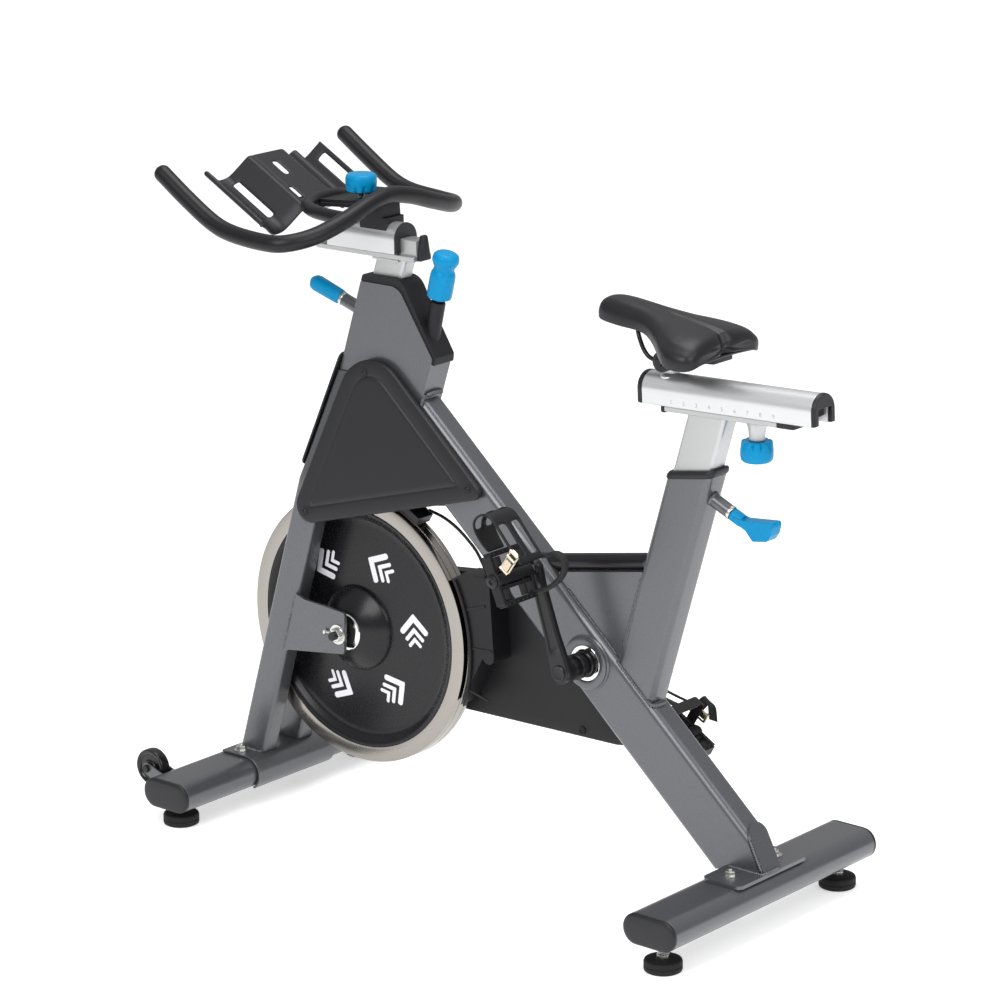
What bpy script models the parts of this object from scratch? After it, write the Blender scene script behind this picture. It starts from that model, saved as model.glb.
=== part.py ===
"""Indoor spin bike: a steel frame on two cross tubes, a weighted front flywheel driven by a belt,
cranks with toe-cage pedals, a push brake, and a saddle and handlebar on sliding aluminium posts.

Frame: +X points to the rear, -Y is the rider's left, +Z is up, the floor is Z = 0. Metres.
"""
from math import atan2, cos, degrees, pi, radians, sin, sqrt, tan

import bmesh
import bpy
from mathutils import Matrix, Vector

# Driving dimensions
GAP = 0.0003                       # left between pieces that touch
WALL = 0.003                       # steel tube wall

FOOT_R, FOOT_H, FOOT_Y = 0.030, 0.020, 0.226
FRONT_X, REAR_X = -0.510, 0.508    # cross tubes, fore and aft
FRONT_Z, REAR_Z = 0.057, 0.0705    # their centres: the rear feet are screwed out further
TUBE_W, TUBE_H, TUBE_L = 0.100, 0.050, 0.513
CAP_T = 0.006

WHEEL_X, WHEEL_Y, WHEEL_Z, WHEEL_R, WHEEL_W = -0.594, 0.205, 0.075, 0.031, 0.021

FLY_X, FLY_Z, FLY_R, FLY_RING, FLY_HALF = -0.294, 0.333, 0.230, 0.026, 0.018
AXLE_R = 0.010
CRANK_X, CRANK_Z, CRANK_LEN, CRANK_LEAN = 0.198, 0.375, 0.170, radians(18.5)
CRANK_Y, CRANK_T = 0.088, 0.014
PEDAL_Y, PEDAL_TURN = 0.1465, {"left": radians(67), "right": radians(30)}
BELT_Y, BELT_W, BELT_T = 0.0425, 0.014, 0.003
PULLEY_BIG, PULLEY_SMALL = 0.075, 0.025

BEAM_H, BEAM_W, BEAM_SLOPE, BEAM_OFF = 0.100, 0.050, radians(41.8), 0.412
SEAT_D, SEAT_W, SEAT_LEAN, SEAT_OFF, SEAT_TOP = 0.080, 0.050, radians(16.6), 0.175, 0.7085
SEAT_RISE, SEAT_PULL = radians(9.4), radians(23.9)   # slope of the tube's mouth, fall of its locking pin
HEAD_W, HEAD_LEAN = 0.050, radians(17.5)
LEG_D, LEG_IN, LEG_OUT, LEG_SLOPE = 0.046, 0.0255, 0.0625, 0.2953

BAR_POST = (0.060, 0.030)          # handlebar post section, fore-aft by across
SEAT_POST = (0.070, 0.036)
BAR_POST_AT = Vector((-0.2246, 0, 0.930))
BAR_RAIL_AT, BAR_RAIL_TILT, BAR_RAIL_L = Vector((-0.263, 0, 0.9756)), radians(1.0), 0.210
SEAT_RAIL_AT, SEAT_RAIL_TILT, SEAT_RAIL_L = Vector((0.469, 0, 0.8205)), radians(2.4), 0.245
BAR_SLIDER_L, SEAT_SLIDER_L = 0.146, 0.3183

BRAKE_TOP, BRAKE_LEAN = Vector((-0.106, 0, 0.989)), atan2(0.239, 1)
BAR_R, RING_R = 0.014, 0.011

# Scene set-up
for old in list(bpy.data.objects):
    bpy.data.objects.remove(old, do_unlink=True)


def collection(name):
    made = bpy.data.collections.new(name)
    bpy.context.scene.collection.children.link(made)
    return made


parts, cutters = collection("spin_bike"), collection("cutters")


def material(name, rgb, roughness, metallic=0.0):
    mat = bpy.data.materials.new(name)
    mat.use_nodes = True
    shader = mat.node_tree.nodes["Principled BSDF"]
    shader.inputs["Base Color"].default_value = (*rgb, 1)
    shader.inputs["Roughness"].default_value = roughness
    shader.inputs["Metallic"].default_value = metallic
    return mat


GREY = material("grey_paint", (0.145, 0.15, 0.155), 0.35, 0.5)
DARK = material("dark_paint", (0.04, 0.042, 0.048), 0.45)
SILVER = material("anodised_aluminium", (0.78, 0.79, 0.79), 0.3, 1.0)
CHROME = material("polished_steel", (0.75, 0.74, 0.72), 0.12, 1.0)
BLACK = material("black_plastic", (0.025, 0.025, 0.03), 0.5)
RUBBER = material("black_rubber", (0.018, 0.018, 0.019), 0.7)
BLUE = material("blue_plastic", (0.005, 0.35, 0.74), 0.35)
VINYL = material("black_vinyl", (0.028, 0.028, 0.031), 0.55)


# Shape helpers
def side(y=0.0):
    """Frame whose local x, y are world X, Z and whose thickness runs along Y."""
    return Matrix.Translation((0, y, 0)) @ Matrix.Rotation(pi / 2, 4, "X")


def along(point, axis):
    """Frame at a point with local z on an axis in the XZ plane and local x on world Y."""
    z = Vector(axis).normalized()
    x = Vector((0, 1, 0))
    y = z.cross(x)
    return Matrix.Translation(point) @ Matrix((x, y, z)).transposed().to_4x4()


def leaning(angle):
    """Unit vector that leans back from upright by an angle."""
    return Vector((sin(angle), 0, cos(angle)))


def rounded(corners, radius, steps=3):
    """A polygon with each corner turned into an arc of the given radius."""
    radii = radius if isinstance(radius, (list, tuple)) else [radius] * len(corners)
    points = [Vector(c) for c in corners]
    out = []
    for i, (p, r) in enumerate(zip(points, radii)):
        a = (points[i - 1] - p).normalized()
        b = (points[(i + 1) % len(points)] - p).normalized()
        if r == 0:
            out.append(p)
            continue
        half = a.angle(b) / 2
        centre = p + (a + b).normalized() * (r / sin(half))
        start, end = p + a * (r / tan(half)) - centre, p + b * (r / tan(half)) - centre
        first = atan2(start.y, start.x)
        sweep = (atan2(end.y, end.x) - first + pi) % (2 * pi) - pi
        out += [centre + Vector((cos(first + sweep * k / steps), sin(first + sweep * k / steps))) * r
                for k in range(steps + 1)]
    return out


def box2(w, h, x=0.0, y=0.0):
    return [(x + w / 2, y - h / 2), (x + w / 2, y + h / 2), (x - w / 2, y + h / 2), (x - w / 2, y - h / 2)]


def arc(x, y, r, start, end, steps):
    """Points on an arc, angles in degrees from local x."""
    angles = [radians(start + (end - start) * k / steps) for k in range(steps + 1)]
    return [(x + r * cos(a), y + r * sin(a)) for a in angles]


def two_circles(ax, ay, ar, bx, by, br, steps=12):
    """The outline of a band stretched round two circles."""
    gap = sqrt((bx - ax) ** 2 + (by - ay) ** 2)
    heading = degrees(atan2(by - ay, bx - ax))
    lean = degrees(atan2(sqrt(gap ** 2 - (ar - br) ** 2), ar - br))
    return (arc(ax, ay, ar, heading + lean, heading + 360 - lean, steps)
            + arc(bx, by, br, heading - lean, heading + lean, steps))


def inset(corners, by):
    """A convex polygon with its edges moved inwards."""
    points = [Vector(c) for c in corners]
    out = []
    for i, p in enumerate(points):
        a = (points[i - 1] - p).normalized()
        b = (points[(i + 1) % len(points)] - p).normalized()
        out.append(p + (a + b).normalized() * by / sin(a.angle(b) / 2))
    return out


def ribbon(path, thickness):
    """Closed outline of a strip of even thickness along a path."""
    points = [Vector(p) for p in path]
    left, right = [], []
    for i, p in enumerate(points):
        way = points[min(i + 1, len(points) - 1)] - points[max(i - 1, 0)]
        normal = Vector((-way.y, way.x)).normalized() * thickness / 2
        left.append(p + normal)
        right.append(p - normal)
    return left + right[::-1]


def smooth(points, steps):
    """Points along a Catmull-Rom curve through the given points."""
    points = [Vector(p) for p in points]
    ends = [points[0] * 2 - points[1]] + points + [points[-1] * 2 - points[-2]]
    out = []
    for a, b, c, d in zip(ends, ends[1:], ends[2:], ends[3:]):
        for k in range(steps):
            t = k / steps
            out.append(0.5 * (2 * b + (c - a) * t + (2 * a - 5 * b + 4 * c - d) * t ** 2
                              + (3 * b - a - 3 * c + d) * t ** 3))
    return out + [points[-1]]


def keep(obj, mat, frame=None):
    """Evaluate an object, weld it, point its faces out, and keep it as a mesh in the parts."""
    bpy.context.view_layer.update()
    mesh = bpy.data.meshes.new_from_object(obj.evaluated_get(bpy.context.evaluated_depsgraph_get()))
    name, world = obj.name, obj.matrix_world.copy() if frame is None else frame
    bpy.data.objects.remove(obj, do_unlink=True)
    bm = bmesh.new()
    bm.from_mesh(mesh)
    bmesh.ops.remove_doubles(bm, verts=bm.verts, dist=0.00001)
    bmesh.ops.recalc_face_normals(bm, faces=bm.faces)
    bm.to_mesh(mesh)
    bm.free()
    mesh.materials.clear()
    mesh.materials.append(mat)
    mesh.shade_smooth()
    mesh.set_sharp_from_angle(angle=radians(35))
    made = bpy.data.objects.new(name, mesh)
    made.name = mesh.name = name
    parts.objects.link(made)
    made.matrix_world = world
    return made


def plate(name, outlines, thickness, frame, mat):
    """A flat outline, with any holes after the first, its thickness centred on the frame's plane."""
    curve = bpy.data.curves.new(name, "CURVE")
    curve.dimensions, curve.fill_mode, curve.extrude = "2D", "BOTH", thickness / 2
    for outline in outlines:
        spline = curve.splines.new("POLY")
        spline.points.add(len(outline) - 1)
        spline.use_cyclic_u = True
        for point, (x, y) in zip(spline.points, outline):
            point.co = (x, y, 0, 1)
    obj = bpy.data.objects.new(name, curve)
    parts.objects.link(obj)
    return keep(obj, mat, frame)


def tube(name, outer, start, end, mat, inner=None):
    """An outline, hollow if an inner one is given, drawn out from a start point to an end point."""
    run = Vector(end) - Vector(start)
    outlines = [outer] + ([inner] if inner else [])
    return plate(name, outlines, run.length, along((Vector(start) + Vector(end)) / 2, run), mat)


def cylinder(name, r, start, end, mat, segments=24):
    run = Vector(end) - Vector(start)
    bm = bmesh.new()
    turn = run.to_track_quat("Z", "Y").to_matrix().to_4x4()
    bmesh.ops.create_cone(bm, cap_ends=True, segments=segments, radius1=r, radius2=r, depth=run.length)
    mesh = bpy.data.meshes.new(name)
    bm.to_mesh(mesh)
    bm.free()
    obj = bpy.data.objects.new(name, mesh)
    parts.objects.link(obj)
    return keep(obj, mat, Matrix.Translation((Vector(start) + Vector(end)) / 2) @ turn)


def block(name, size, centre, mat, turn=0.0):
    bm = bmesh.new()
    bmesh.ops.create_cube(bm, size=1)
    bmesh.ops.scale(bm, vec=size, verts=bm.verts)
    mesh = bpy.data.meshes.new(name)
    bm.to_mesh(mesh)
    bm.free()
    obj = bpy.data.objects.new(name, mesh)
    parts.objects.link(obj)
    return keep(obj, mat, Matrix.Translation(centre) @ Matrix.Rotation(turn, 4, "Y"))


def turned(name, profile, frame, mat, steps=32, closed=False):
    """A profile of (radius, height) points turned about the frame's z axis."""
    mesh = bpy.data.meshes.new(name)
    edges = [(i, i + 1) for i in range(len(profile) - 1)] + ([(len(profile) - 1, 0)] if closed else [])
    mesh.from_pydata([(r, 0, z) for r, z in profile], edges, [])
    obj = bpy.data.objects.new(name, mesh)
    parts.objects.link(obj)
    screw = obj.modifiers.new("turn", "SCREW")
    screw.steps = screw.render_steps = steps
    screw.use_merge_vertices, screw.merge_threshold = True, 0.00005
    return keep(obj, mat, frame)


def wire(name, points, r, mat, resolution=2, cyclic=False):
    """A round tube along points."""
    curve = bpy.data.curves.new(name, "CURVE")
    curve.dimensions, curve.bevel_depth, curve.bevel_resolution = "3D", r, resolution
    curve.use_fill_caps = not cyclic
    spline = curve.splines.new("POLY")
    spline.points.add(len(points) - 1)
    spline.use_cyclic_u = cyclic
    for point, co in zip(spline.points, points):
        point.co = (*co, 1)
    obj = bpy.data.objects.new(name, curve)
    parts.objects.link(obj)
    return keep(obj, mat, Matrix())


def combine(obj, others, operation):
    for other in others:
        parts.objects.unlink(other)
        cutters.objects.link(other)
        other.hide_render, other.display_type = True, "WIRE"
        step = obj.modifiers.new(operation.lower(), "BOOLEAN")
        step.operation, step.object, step.solver = operation, other, "EXACT"
    return obj


def cut(obj, *others):
    return combine(obj, others, "DIFFERENCE")


def weld(obj, *others):
    return combine(obj, others, "UNION")


def soften(obj, width, segments=1, angle=40):
    bevel = obj.modifiers.new("soften", "BEVEL")
    bevel.width, bevel.segments, bevel.limit_method = width, segments, "ANGLE"
    bevel.angle_limit = radians(angle)
    return obj


def pivot(obj, point):
    """Move an object's origin to a point on its joint's axis, leaving its shape in place."""
    local = obj.matrix_world.inverted() @ Vector(point)
    obj.data.transform(Matrix.Translation(-local))
    obj.matrix_world = obj.matrix_world @ Matrix.Translation(local)
    return obj


def mirrored(obj, name):
    """The same piece for the other side of the bike, reflected in the XZ plane."""
    twin = obj.copy()
    twin.data = obj.data.copy()
    twin.name = twin.data.name = name
    parts.objects.link(twin)
    world = Matrix.Scale(-1, 4, (0, 1, 0)) @ obj.matrix_world
    origin = world.translation.copy()
    twin.data.transform(Matrix.Translation(-origin) @ world)
    twin.data.flip_normals()
    twin.matrix_world = Matrix.Translation(origin)
    for step, first in zip(twin.modifiers, obj.modifiers):
        if step.type == "BOOLEAN":
            tool = mirrored(first.object, name + "_cutter")
            parts.objects.unlink(tool)
            cutters.objects.link(tool)
            tool.hide_render, tool.display_type = True, "WIRE"
            step.object = tool
    return twin


def pair(obj, stem):
    """Name a piece made on the left and make its twin on the right."""
    obj.name = stem + "_left"
    return obj, mirrored(obj, stem + "_right")


def box_section(w, d, r=0.012, wall=0.0):
    """Rounded tube section, w across the bike and d in the side view, drawn in by a wall."""
    return rounded(box2(w - 2 * wall, d - 2 * wall), max(r - wall, 0.002))


# Cross tubes with flush end caps
def cross_tube(name, x, z):
    oval = rounded(box2(TUBE_W, TUBE_H), TUBE_H / 2 - 0.0005, 4)
    hollow = rounded(box2(TUBE_W - 2 * WALL, TUBE_H - 2 * WALL), TUBE_H / 2 - WALL - 0.0005, 4)
    return plate(name, [oval, hollow], TUBE_L, Matrix.Translation((x, 0, z)) @ side(), GREY)


def end_cap(name, x, z, sign):
    oval = rounded(box2(TUBE_W, TUBE_H), TUBE_H / 2 - 0.0005, 4)
    y = sign * (TUBE_L / 2 + GAP + CAP_T / 2)
    cap = plate(name, [oval], CAP_T, Matrix.Translation((x, y, z)) @ side(), BLACK)
    return soften(cap, 0.0025, 1, 60)


front_tube = cross_tube("front_stabiliser", FRONT_X, FRONT_Z)
rear_tube = cross_tube("rear_stabiliser", REAR_X, REAR_Z)
for end, x, z in (("front", FRONT_X, FRONT_Z), ("rear", REAR_X, REAR_Z)):
    for hand, sign in (("left", -1), ("right", 1)):
        end_cap(f"end_cap_{end}_{hand}", x, z, sign)

# Levelling feet: a rubber pad on a threaded stem that enters the cross tube
for tube_obj, end, x, z in ((front_tube, "front", FRONT_X, FRONT_Z), (rear_tube, "rear", REAR_X, REAR_Z)):
    for hand, sign in (("left", -1), ("right", 1)):
        under = z - TUBE_H / 2
        profile = [(0, z), (0.005, z), (0.005, under - 0.002), (0.009, under - 0.002),
                   (0.009, FOOT_H), (FOOT_R - 0.004, FOOT_H), (FOOT_R, FOOT_H - 0.004),
                   (FOOT_R, 0.002), (FOOT_R - 0.002, 0), (0, 0)]
        at = Matrix.Translation((x, sign * FOOT_Y, 0))
        turned(f"levelling_foot_{end}_{hand}", profile, at, RUBBER, 16)
        cut(tube_obj, cylinder("foot_hole", 0.0056, (x, sign * FOOT_Y, under - 0.01),
                               (x, sign * FOOT_Y, z), GREY, 12))

# Transport wheels between two cheeks welded to the front tube
for sign in (-1, 1):
    for inner in (-1, 1):
        cheek = two_circles(WHEEL_X, WHEEL_Z, 0.010, FRONT_X - 0.046, FRONT_Z + 0.002, 0.012, 4)
        y = sign * WHEEL_Y + inner * (WHEEL_W / 2 + 0.0035)
        weld(front_tube, plate("cheek", [cheek], 0.003, side(y), GREY))
    reach = WHEEL_W / 2 + 0.007
    weld(front_tube, cylinder("wheel_bolt", 0.004, (WHEEL_X, sign * WHEEL_Y - reach, WHEEL_Z),
                              (WHEEL_X, sign * WHEEL_Y + reach, WHEEL_Z), CHROME, 12))
tread = [(0.0046, 0.0105), (0.012, 0.0105), (0.020, 0.0075), (WHEEL_R - 0.003, 0.0105), (WHEEL_R, 0.006)]
tread += [(r, -z) for r, z in reversed(tread)]
pair(turned("transport_wheel", tread, Matrix.Translation((WHEEL_X, -WHEEL_Y, WHEEL_Z)) @ side(),
            RUBBER, 18, True), "transport_wheel")

# Front bracket: a folded plate over the front tube that carries the fork legs
bracket_top = FRONT_Z + TUBE_H / 2
fold = [(FRONT_X - 0.030, bracket_top + 0.0025), (FRONT_X + 0.026, bracket_top + 0.0025)]
fold += [(FRONT_X + 0.0265 + 0.0275 * cos(a), FRONT_Z + 0.0275 * sin(a))
         for a in (radians(75 - 15 * k) for k in range(10))]
bracket = plate("front_bracket", [ribbon(fold, 0.004)], 0.188, side(), GREY)
weld(bracket, *[cylinder("bracket_bolt", 0.0065, (FRONT_X - 0.002, y, bracket_top + 0.003),
                         (FRONT_X - 0.002, y, bracket_top + 0.011), CHROME, 6) for y in (-0.076, 0.076)])

# Main beam, cut square to the head at the top and to its foot plate below
slope = Vector((cos(BEAM_SLOPE), 0, -sin(BEAM_SLOPE)))
above = Vector((sin(BEAM_SLOPE), 0, cos(BEAM_SLOPE)))
beam_mid = above * BEAM_OFF
foot_top = REAR_Z + TUBE_H / 2 + 0.006


def beam_z(x, off=BEAM_OFF):
    """Height of a line along the beam, a given way off the origin."""
    return (off - above.x * x) / above.z


HEAD_BACK = Vector((-0.139, 0, 0.753))     # where the beam's top meets the head
BEAM_TOP, BEAM_UNDER = BEAM_OFF + BEAM_H / 2, BEAM_OFF - BEAM_H / 2
FIN_AT, FIN_LEAN = Vector((0.543, 0, foot_top)), -radians(27)
fin_out = Vector((cos(FIN_LEAN), 0, -sin(FIN_LEAN)))
beam = tube("main_beam", box_section(BEAM_W, BEAM_H, 0.014),
            beam_mid - slope * 0.65, beam_mid + slope * 0.45, GREY, box_section(BEAM_W, BEAM_H, 0.014, WALL))
head_normal = Vector((cos(HEAD_LEAN), 0, -sin(HEAD_LEAN)))
cut(beam,
    block("beam_head_cut", (0.5, 0.2, 0.5), HEAD_BACK + head_normal * (GAP - 0.25), GREY, HEAD_LEAN),
    block("beam_foot_cut", (0.6, 0.2, 0.3), (0.6, 0, foot_top + GAP - 0.15), GREY),
    block("beam_end_cut", (0.3, 0.2, 0.4), FIN_AT + fin_out * (0.15 - 0.003 - GAP), GREY, FIN_LEAN),
    cylinder("bracket_hole", 0.0428, (CRANK_X, -0.1, CRANK_Z), (CRANK_X, 0.1, CRANK_Z), GREY, 32))

# Foot plate bolted on the rear tube, with its rounded end fin
foot = plate("rear_foot_plate", [rounded(box2(0.074, 0.180), 0.012)], 0.006 - GAP,
             Matrix.Translation((0.512, 0, foot_top - 0.003 + GAP / 2)), GREY)
fin = [(0.022, -0.004), *arc(0, 0.057, 0.022, 0, 180, 8), (-0.022, -0.004)]
weld(foot, plate("end_fin", [fin], 0.006, along(FIN_AT, fin_out), GREY),
     *[cylinder("foot_bolt", 0.0065, (0.507, y, foot_top - 0.002), (0.507, y, foot_top + 0.012), CHROME, 6)
       for y in (-0.057, 0.057)])

# Head: a boxed neck that takes the handlebar post; the fork legs and the beam meet it
front_line = Vector((-0.307, 0, 0.8046))
neck = Vector((sin(HEAD_LEAN), 0, cos(HEAD_LEAN)))


def head_front(z):
    return front_line.x + (z - front_line.z) * tan(HEAD_LEAN)


def head_back(z):
    return HEAD_BACK.x + (z - HEAD_BACK.z) * tan(HEAD_LEAN)


HEAD_TOP = 0.924
head_side = [(head_front(HEAD_TOP), HEAD_TOP), (-0.190, 0.9245), (-0.1186, 0.816),
             (head_back(0.753), 0.753), (head_back(0.646), 0.646), (-0.235, 0.640),
             (head_front(0.640), 0.640)]
head = plate("head_shell", [rounded(head_side, [0, 0.030, 0.006, 0, 0, 0, 0])], HEAD_W, side(), GREY)
soften(head, 0.005, 2)
post_hole = tube("post_hole", box_section(BAR_POST[1] + 0.0008, BAR_POST[0] + 0.0008, 0.006),
                 BAR_POST_AT - neck * 0.285, BAR_POST_AT + neck * 0.1, GREY)
pin_at = Vector((head_front(0.8680), 0, 0.8680))
pin_out = -Vector((cos(HEAD_LEAN), 0, -sin(HEAD_LEAN)))
weld(head, cylinder("pin_barrel", 0.011, pin_at - pin_out * 0.004, pin_at + pin_out * 0.0475, GREY, 20))
brake_axis = leaning(BRAKE_LEAN)
cut(head, post_hole,
    cylinder("pin_bore", 0.0065, pin_at - pin_out * 0.02, pin_at + pin_out * 0.07, GREY, 16),
    cylinder("rod_bore", 0.0078, BRAKE_TOP - brake_axis * 0.06, BRAKE_TOP - brake_axis * 0.45, GREY, 16))


# Fork legs: straight tubes that thin onto the head's cheeks, each with its axle plate
def leg_front(z):
    return -0.4973 + (z - 0.1925) * LEG_SLOPE


leg_run = LEG_D / cos(atan2(LEG_SLOPE, 1))
leg_foot = bracket_top + 0.0045 + GAP
leg_rings = [(leg_front(leg_foot), leg_foot, LEG_OUT), (leg_front(0.585), 0.585, LEG_OUT),
             (head_front(0.770), 0.770, LEG_IN + 0.003)]
leg_cage = bmesh.new()
below = None
for x, z, out in leg_rings:
    ring = [leg_cage.verts.new((px, -py, z)) for px, py in
            ((x, LEG_IN), (x + leg_run, LEG_IN), (x + leg_run, out), (x, out))]
    if below is None:
        leg_cage.faces.new(ring)
    else:
        for k in range(4):
            leg_cage.faces.new((below[k - 1], below[k], ring[k], ring[k - 1]))
    below = ring
leg_cage.faces.new(below)
leg_mesh = bpy.data.meshes.new("fork_leg")
leg_cage.to_mesh(leg_mesh)
leg_cage.free()
leg = bpy.data.objects.new("fork_leg", leg_mesh)
parts.objects.link(leg)
leg = soften(keep(leg, GREY), 0.009, 2, 60)
dropout = rounded([(-0.430, 0.392), (-0.368, 0.3785), (-0.279, 0.372), (-0.281, 0.301), (-0.405, 0.284),
                   (-0.445, 0.270)], [0, 0.010, 0.006, 0.006, 0.010, 0])
axle_hole = arc(FLY_X, FLY_Z, AXLE_R + 0.0003, 360, 0, 20)[:-1]
weld(leg, plate("axle_plate", [dropout, axle_hole], 0.006, side(-LEG_OUT - 0.0015), GREY))
pair(leg, "fork_leg")

# Front shield across the legs
shield_way = Vector((head_front(0.770) - leg_front(0.585), 0, 0.185)).normalized()
shield_at = Vector((head_front(0.770), 0, 0.770))
shield_in = Vector((shield_way.z, 0, -shield_way.x))
shield = rounded([(0.030, 0.030), (-0.030, 0.030), (-0.058, -0.175), (0.058, -0.175)], 0.010)
plate("front_shield", [shield], 0.004, along(shield_at - shield_in * 0.0036, shield_in), BLACK)

# Triangular side covers, tilted so that the lower front corner stands out past the leg
COVER_T = 0.0095


def side_cover(name, sign, trim):
    """A shallow tray; `trim` draws its rear edge in on the side where the beam hides it."""
    apex, heel, toe_end = (Vector((x, sign * y, z)) for x, y, z in
                           ((-0.2599, 0.0378, 0.8484), (0.0030, 0.0395, 0.6108), (-0.3927, 0.0834, 0.5028)))
    shift = (toe_end - apex).normalized() * trim
    apex, heel = apex + shift, heel + shift
    z = (heel - apex).cross(toe_end - apex).normalized()
    z = z if z.y * sign > 0 else -z
    x = (heel - apex).normalized()
    y = z.cross(x)
    frame = Matrix.Translation(apex - z * COVER_T / 2) @ Matrix((x, y, z)).transposed().to_4x4()
    corners = [((p - apex).dot(x), (p - apex).dot(y)) for p in (apex, heel, toe_end)]
    radii = [0.066, 0.0135, 0.029]
    body = plate(name, [rounded(corners, radii, 5)], COVER_T, frame, BLACK)
    drawn_in = rounded(inset(corners, 0.0035), [r - 0.0035 for r in radii], 5)
    pocket = plate("cover_pocket", [drawn_in], COVER_T,
                   frame @ Matrix.Translation((0, 0, -0.003)), BLACK)
    return cut(body, pocket)


side_cover("side_cover_left", -1, 0.0)
side_cover("side_cover_right", 1, 0.030)

# Seat tube, collar, gusset and cross bar
seat_up = leaning(SEAT_LEAN)
seat_back = Vector((cos(SEAT_LEAN), 0, -sin(SEAT_LEAN)))


def seat_at(z):
    return Vector(((SEAT_OFF + sin(SEAT_LEAN) * z) / cos(SEAT_LEAN), 0, z))


seat_bore = box_section(SEAT_POST[1] + 0.0008, SEAT_POST[0] + 0.0008, 0.007)
mouth, mouth_up = seat_at(SEAT_TOP), leaning(-SEAT_RISE)
seat_tube = tube("seat_tube", box_section(SEAT_W, SEAT_D), seat_at(0.25), seat_at(0.76), GREY, seat_bore)
cut(seat_tube, block("mouth_cut", (0.3, 0.2, 0.2), mouth + mouth_up * 0.1, GREY, -SEAT_RISE))
seat_pull = Vector((cos(SEAT_PULL), 0, -sin(SEAT_PULL)))
knob_at = seat_at(0.688) + seat_back * SEAT_D / 2
weld(seat_tube, cylinder("pin_barrel", 0.011, knob_at - seat_pull * 0.003,
                         knob_at + seat_pull * 0.040, GREY, 20))
cut(seat_tube, block("seat_foot_cut", (0.6, 0.2, 0.3), above * (BEAM_TOP + GAP - 0.15) + slope * -0.05, GREY,
                     BEAM_SLOPE),
    cylinder("pin_bore", 0.0065, knob_at - seat_pull * 0.02, knob_at + seat_pull * 0.05, GREY, 16))
collar = tube("seat_collar", box_section(SEAT_W + 0.004, SEAT_D + 0.002, 0.013), seat_at(0.66),
              seat_at(0.76), BLACK, seat_bore)
cut(collar, block("collar_foot", (0.3, 0.2, 0.2), mouth + mouth_up * (GAP - 0.1), BLACK, -SEAT_RISE),
    block("collar_head", (0.3, 0.2, 0.2), mouth + mouth_up * 0.1118, BLACK, -SEAT_RISE))

BAR_SLOPE = 0.1885                      # the cross bar rises to the rear
bar_front, bar_rear = Vector((0.154, 0, 0.527)), Vector((0.284, 0, 0.5515))
bar_way = (bar_rear - bar_front).normalized()
cross_bar = cylinder("cross_bar", 0.0135, bar_front - bar_way * 0.10, bar_rear + bar_way * 0.10, DARK, 24)
cut(cross_bar, block("bar_front_cut", (1.2, 0.2, 0.3), above * (BEAM_TOP + GAP - 0.15), GREY, BEAM_SLOPE),
    block("bar_rear_cut", (0.3, 0.2, 0.8), seat_at(0.6) + seat_back * (0.15 - SEAT_D / 2 - GAP), GREY,
          SEAT_LEAN))


def under_bar(x):
    return bar_front.z + (x - bar_front.x) * BAR_SLOPE - 0.0135 / cos(atan2(BAR_SLOPE, 1)) - GAP


def seat_face(z):
    return seat_at(z).x - SEAT_D / 2 / cos(SEAT_LEAN) - GAP


gusset_nose, gusset_low, gusset_high = 0.1335, seat_face(0.3912), seat_face(0.5385) - 0.002
gusset = [(gusset_nose, beam_z(gusset_nose, BEAM_TOP + GAP)),
          (gusset_low - 0.0004, beam_z(gusset_low, BEAM_TOP + GAP) + 0.0006),
          (seat_face(0.538), 0.538), (gusset_high, under_bar(gusset_high)),
          (gusset_nose, under_bar(gusset_nose))]
plate("gusset_plate", [gusset], 0.030, side(), GREY)

# Bottom bracket: shell through the beam and a bearing at each end
hub = Matrix.Translation((CRANK_X, 0, CRANK_Z)) @ side()
turned("bracket_shell", [(0.0303, 0.031), (0.0405, 0.031), (0.0424, 0.029), (0.0424, -0.0272),
                         (0.0303, -0.0272)],
       hub, GREY, 32, True)
for hand, y0, y1 in (("left", 0.016, 0.030), ("right", -0.0265, -0.0125)):
    race = [(0.0101, y1), (0.0300, y1), (0.0300, y0), (0.0101, y0)]
    turned(f"crank_bearing_{hand}", race, hub, CHROME, 24, True)

# Crank spindle, drive pulley, cranks with their pedal axles
spindle_end = CRANK_Y - CRANK_T / 2 - 0.0095
turned("crank_spindle", [(0, spindle_end), (0.021, spindle_end), (0.021, 0.0335), (0.0096, 0.0335),
                         (0.0096, -0.0545), (0.021, -0.0545), (0.021, -spindle_end), (0, -spindle_end)],
       hub, BLACK, 24)
turned("drive_pulley", [(0.0099, BELT_Y - 0.009), (0.020, BELT_Y - 0.009), (0.020, BELT_Y - 0.005),
                        (PULLEY_BIG, BELT_Y - 0.008), (PULLEY_BIG, BELT_Y + 0.008), (0.020, BELT_Y + 0.005),
                        (0.020, BELT_Y + 0.009), (0.0099, BELT_Y + 0.009)],
       hub @ Matrix.Rotation(pi, 4, "X"), BLACK, 24, True)
reach = Vector((-sin(CRANK_LEAN), 0, cos(CRANK_LEAN))) * CRANK_LEN
pedal_at = {"left": Vector((CRANK_X, -PEDAL_Y, CRANK_Z)) + reach,
            "right": Vector((CRANK_X, PEDAL_Y, CRANK_Z)) - reach}
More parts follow.
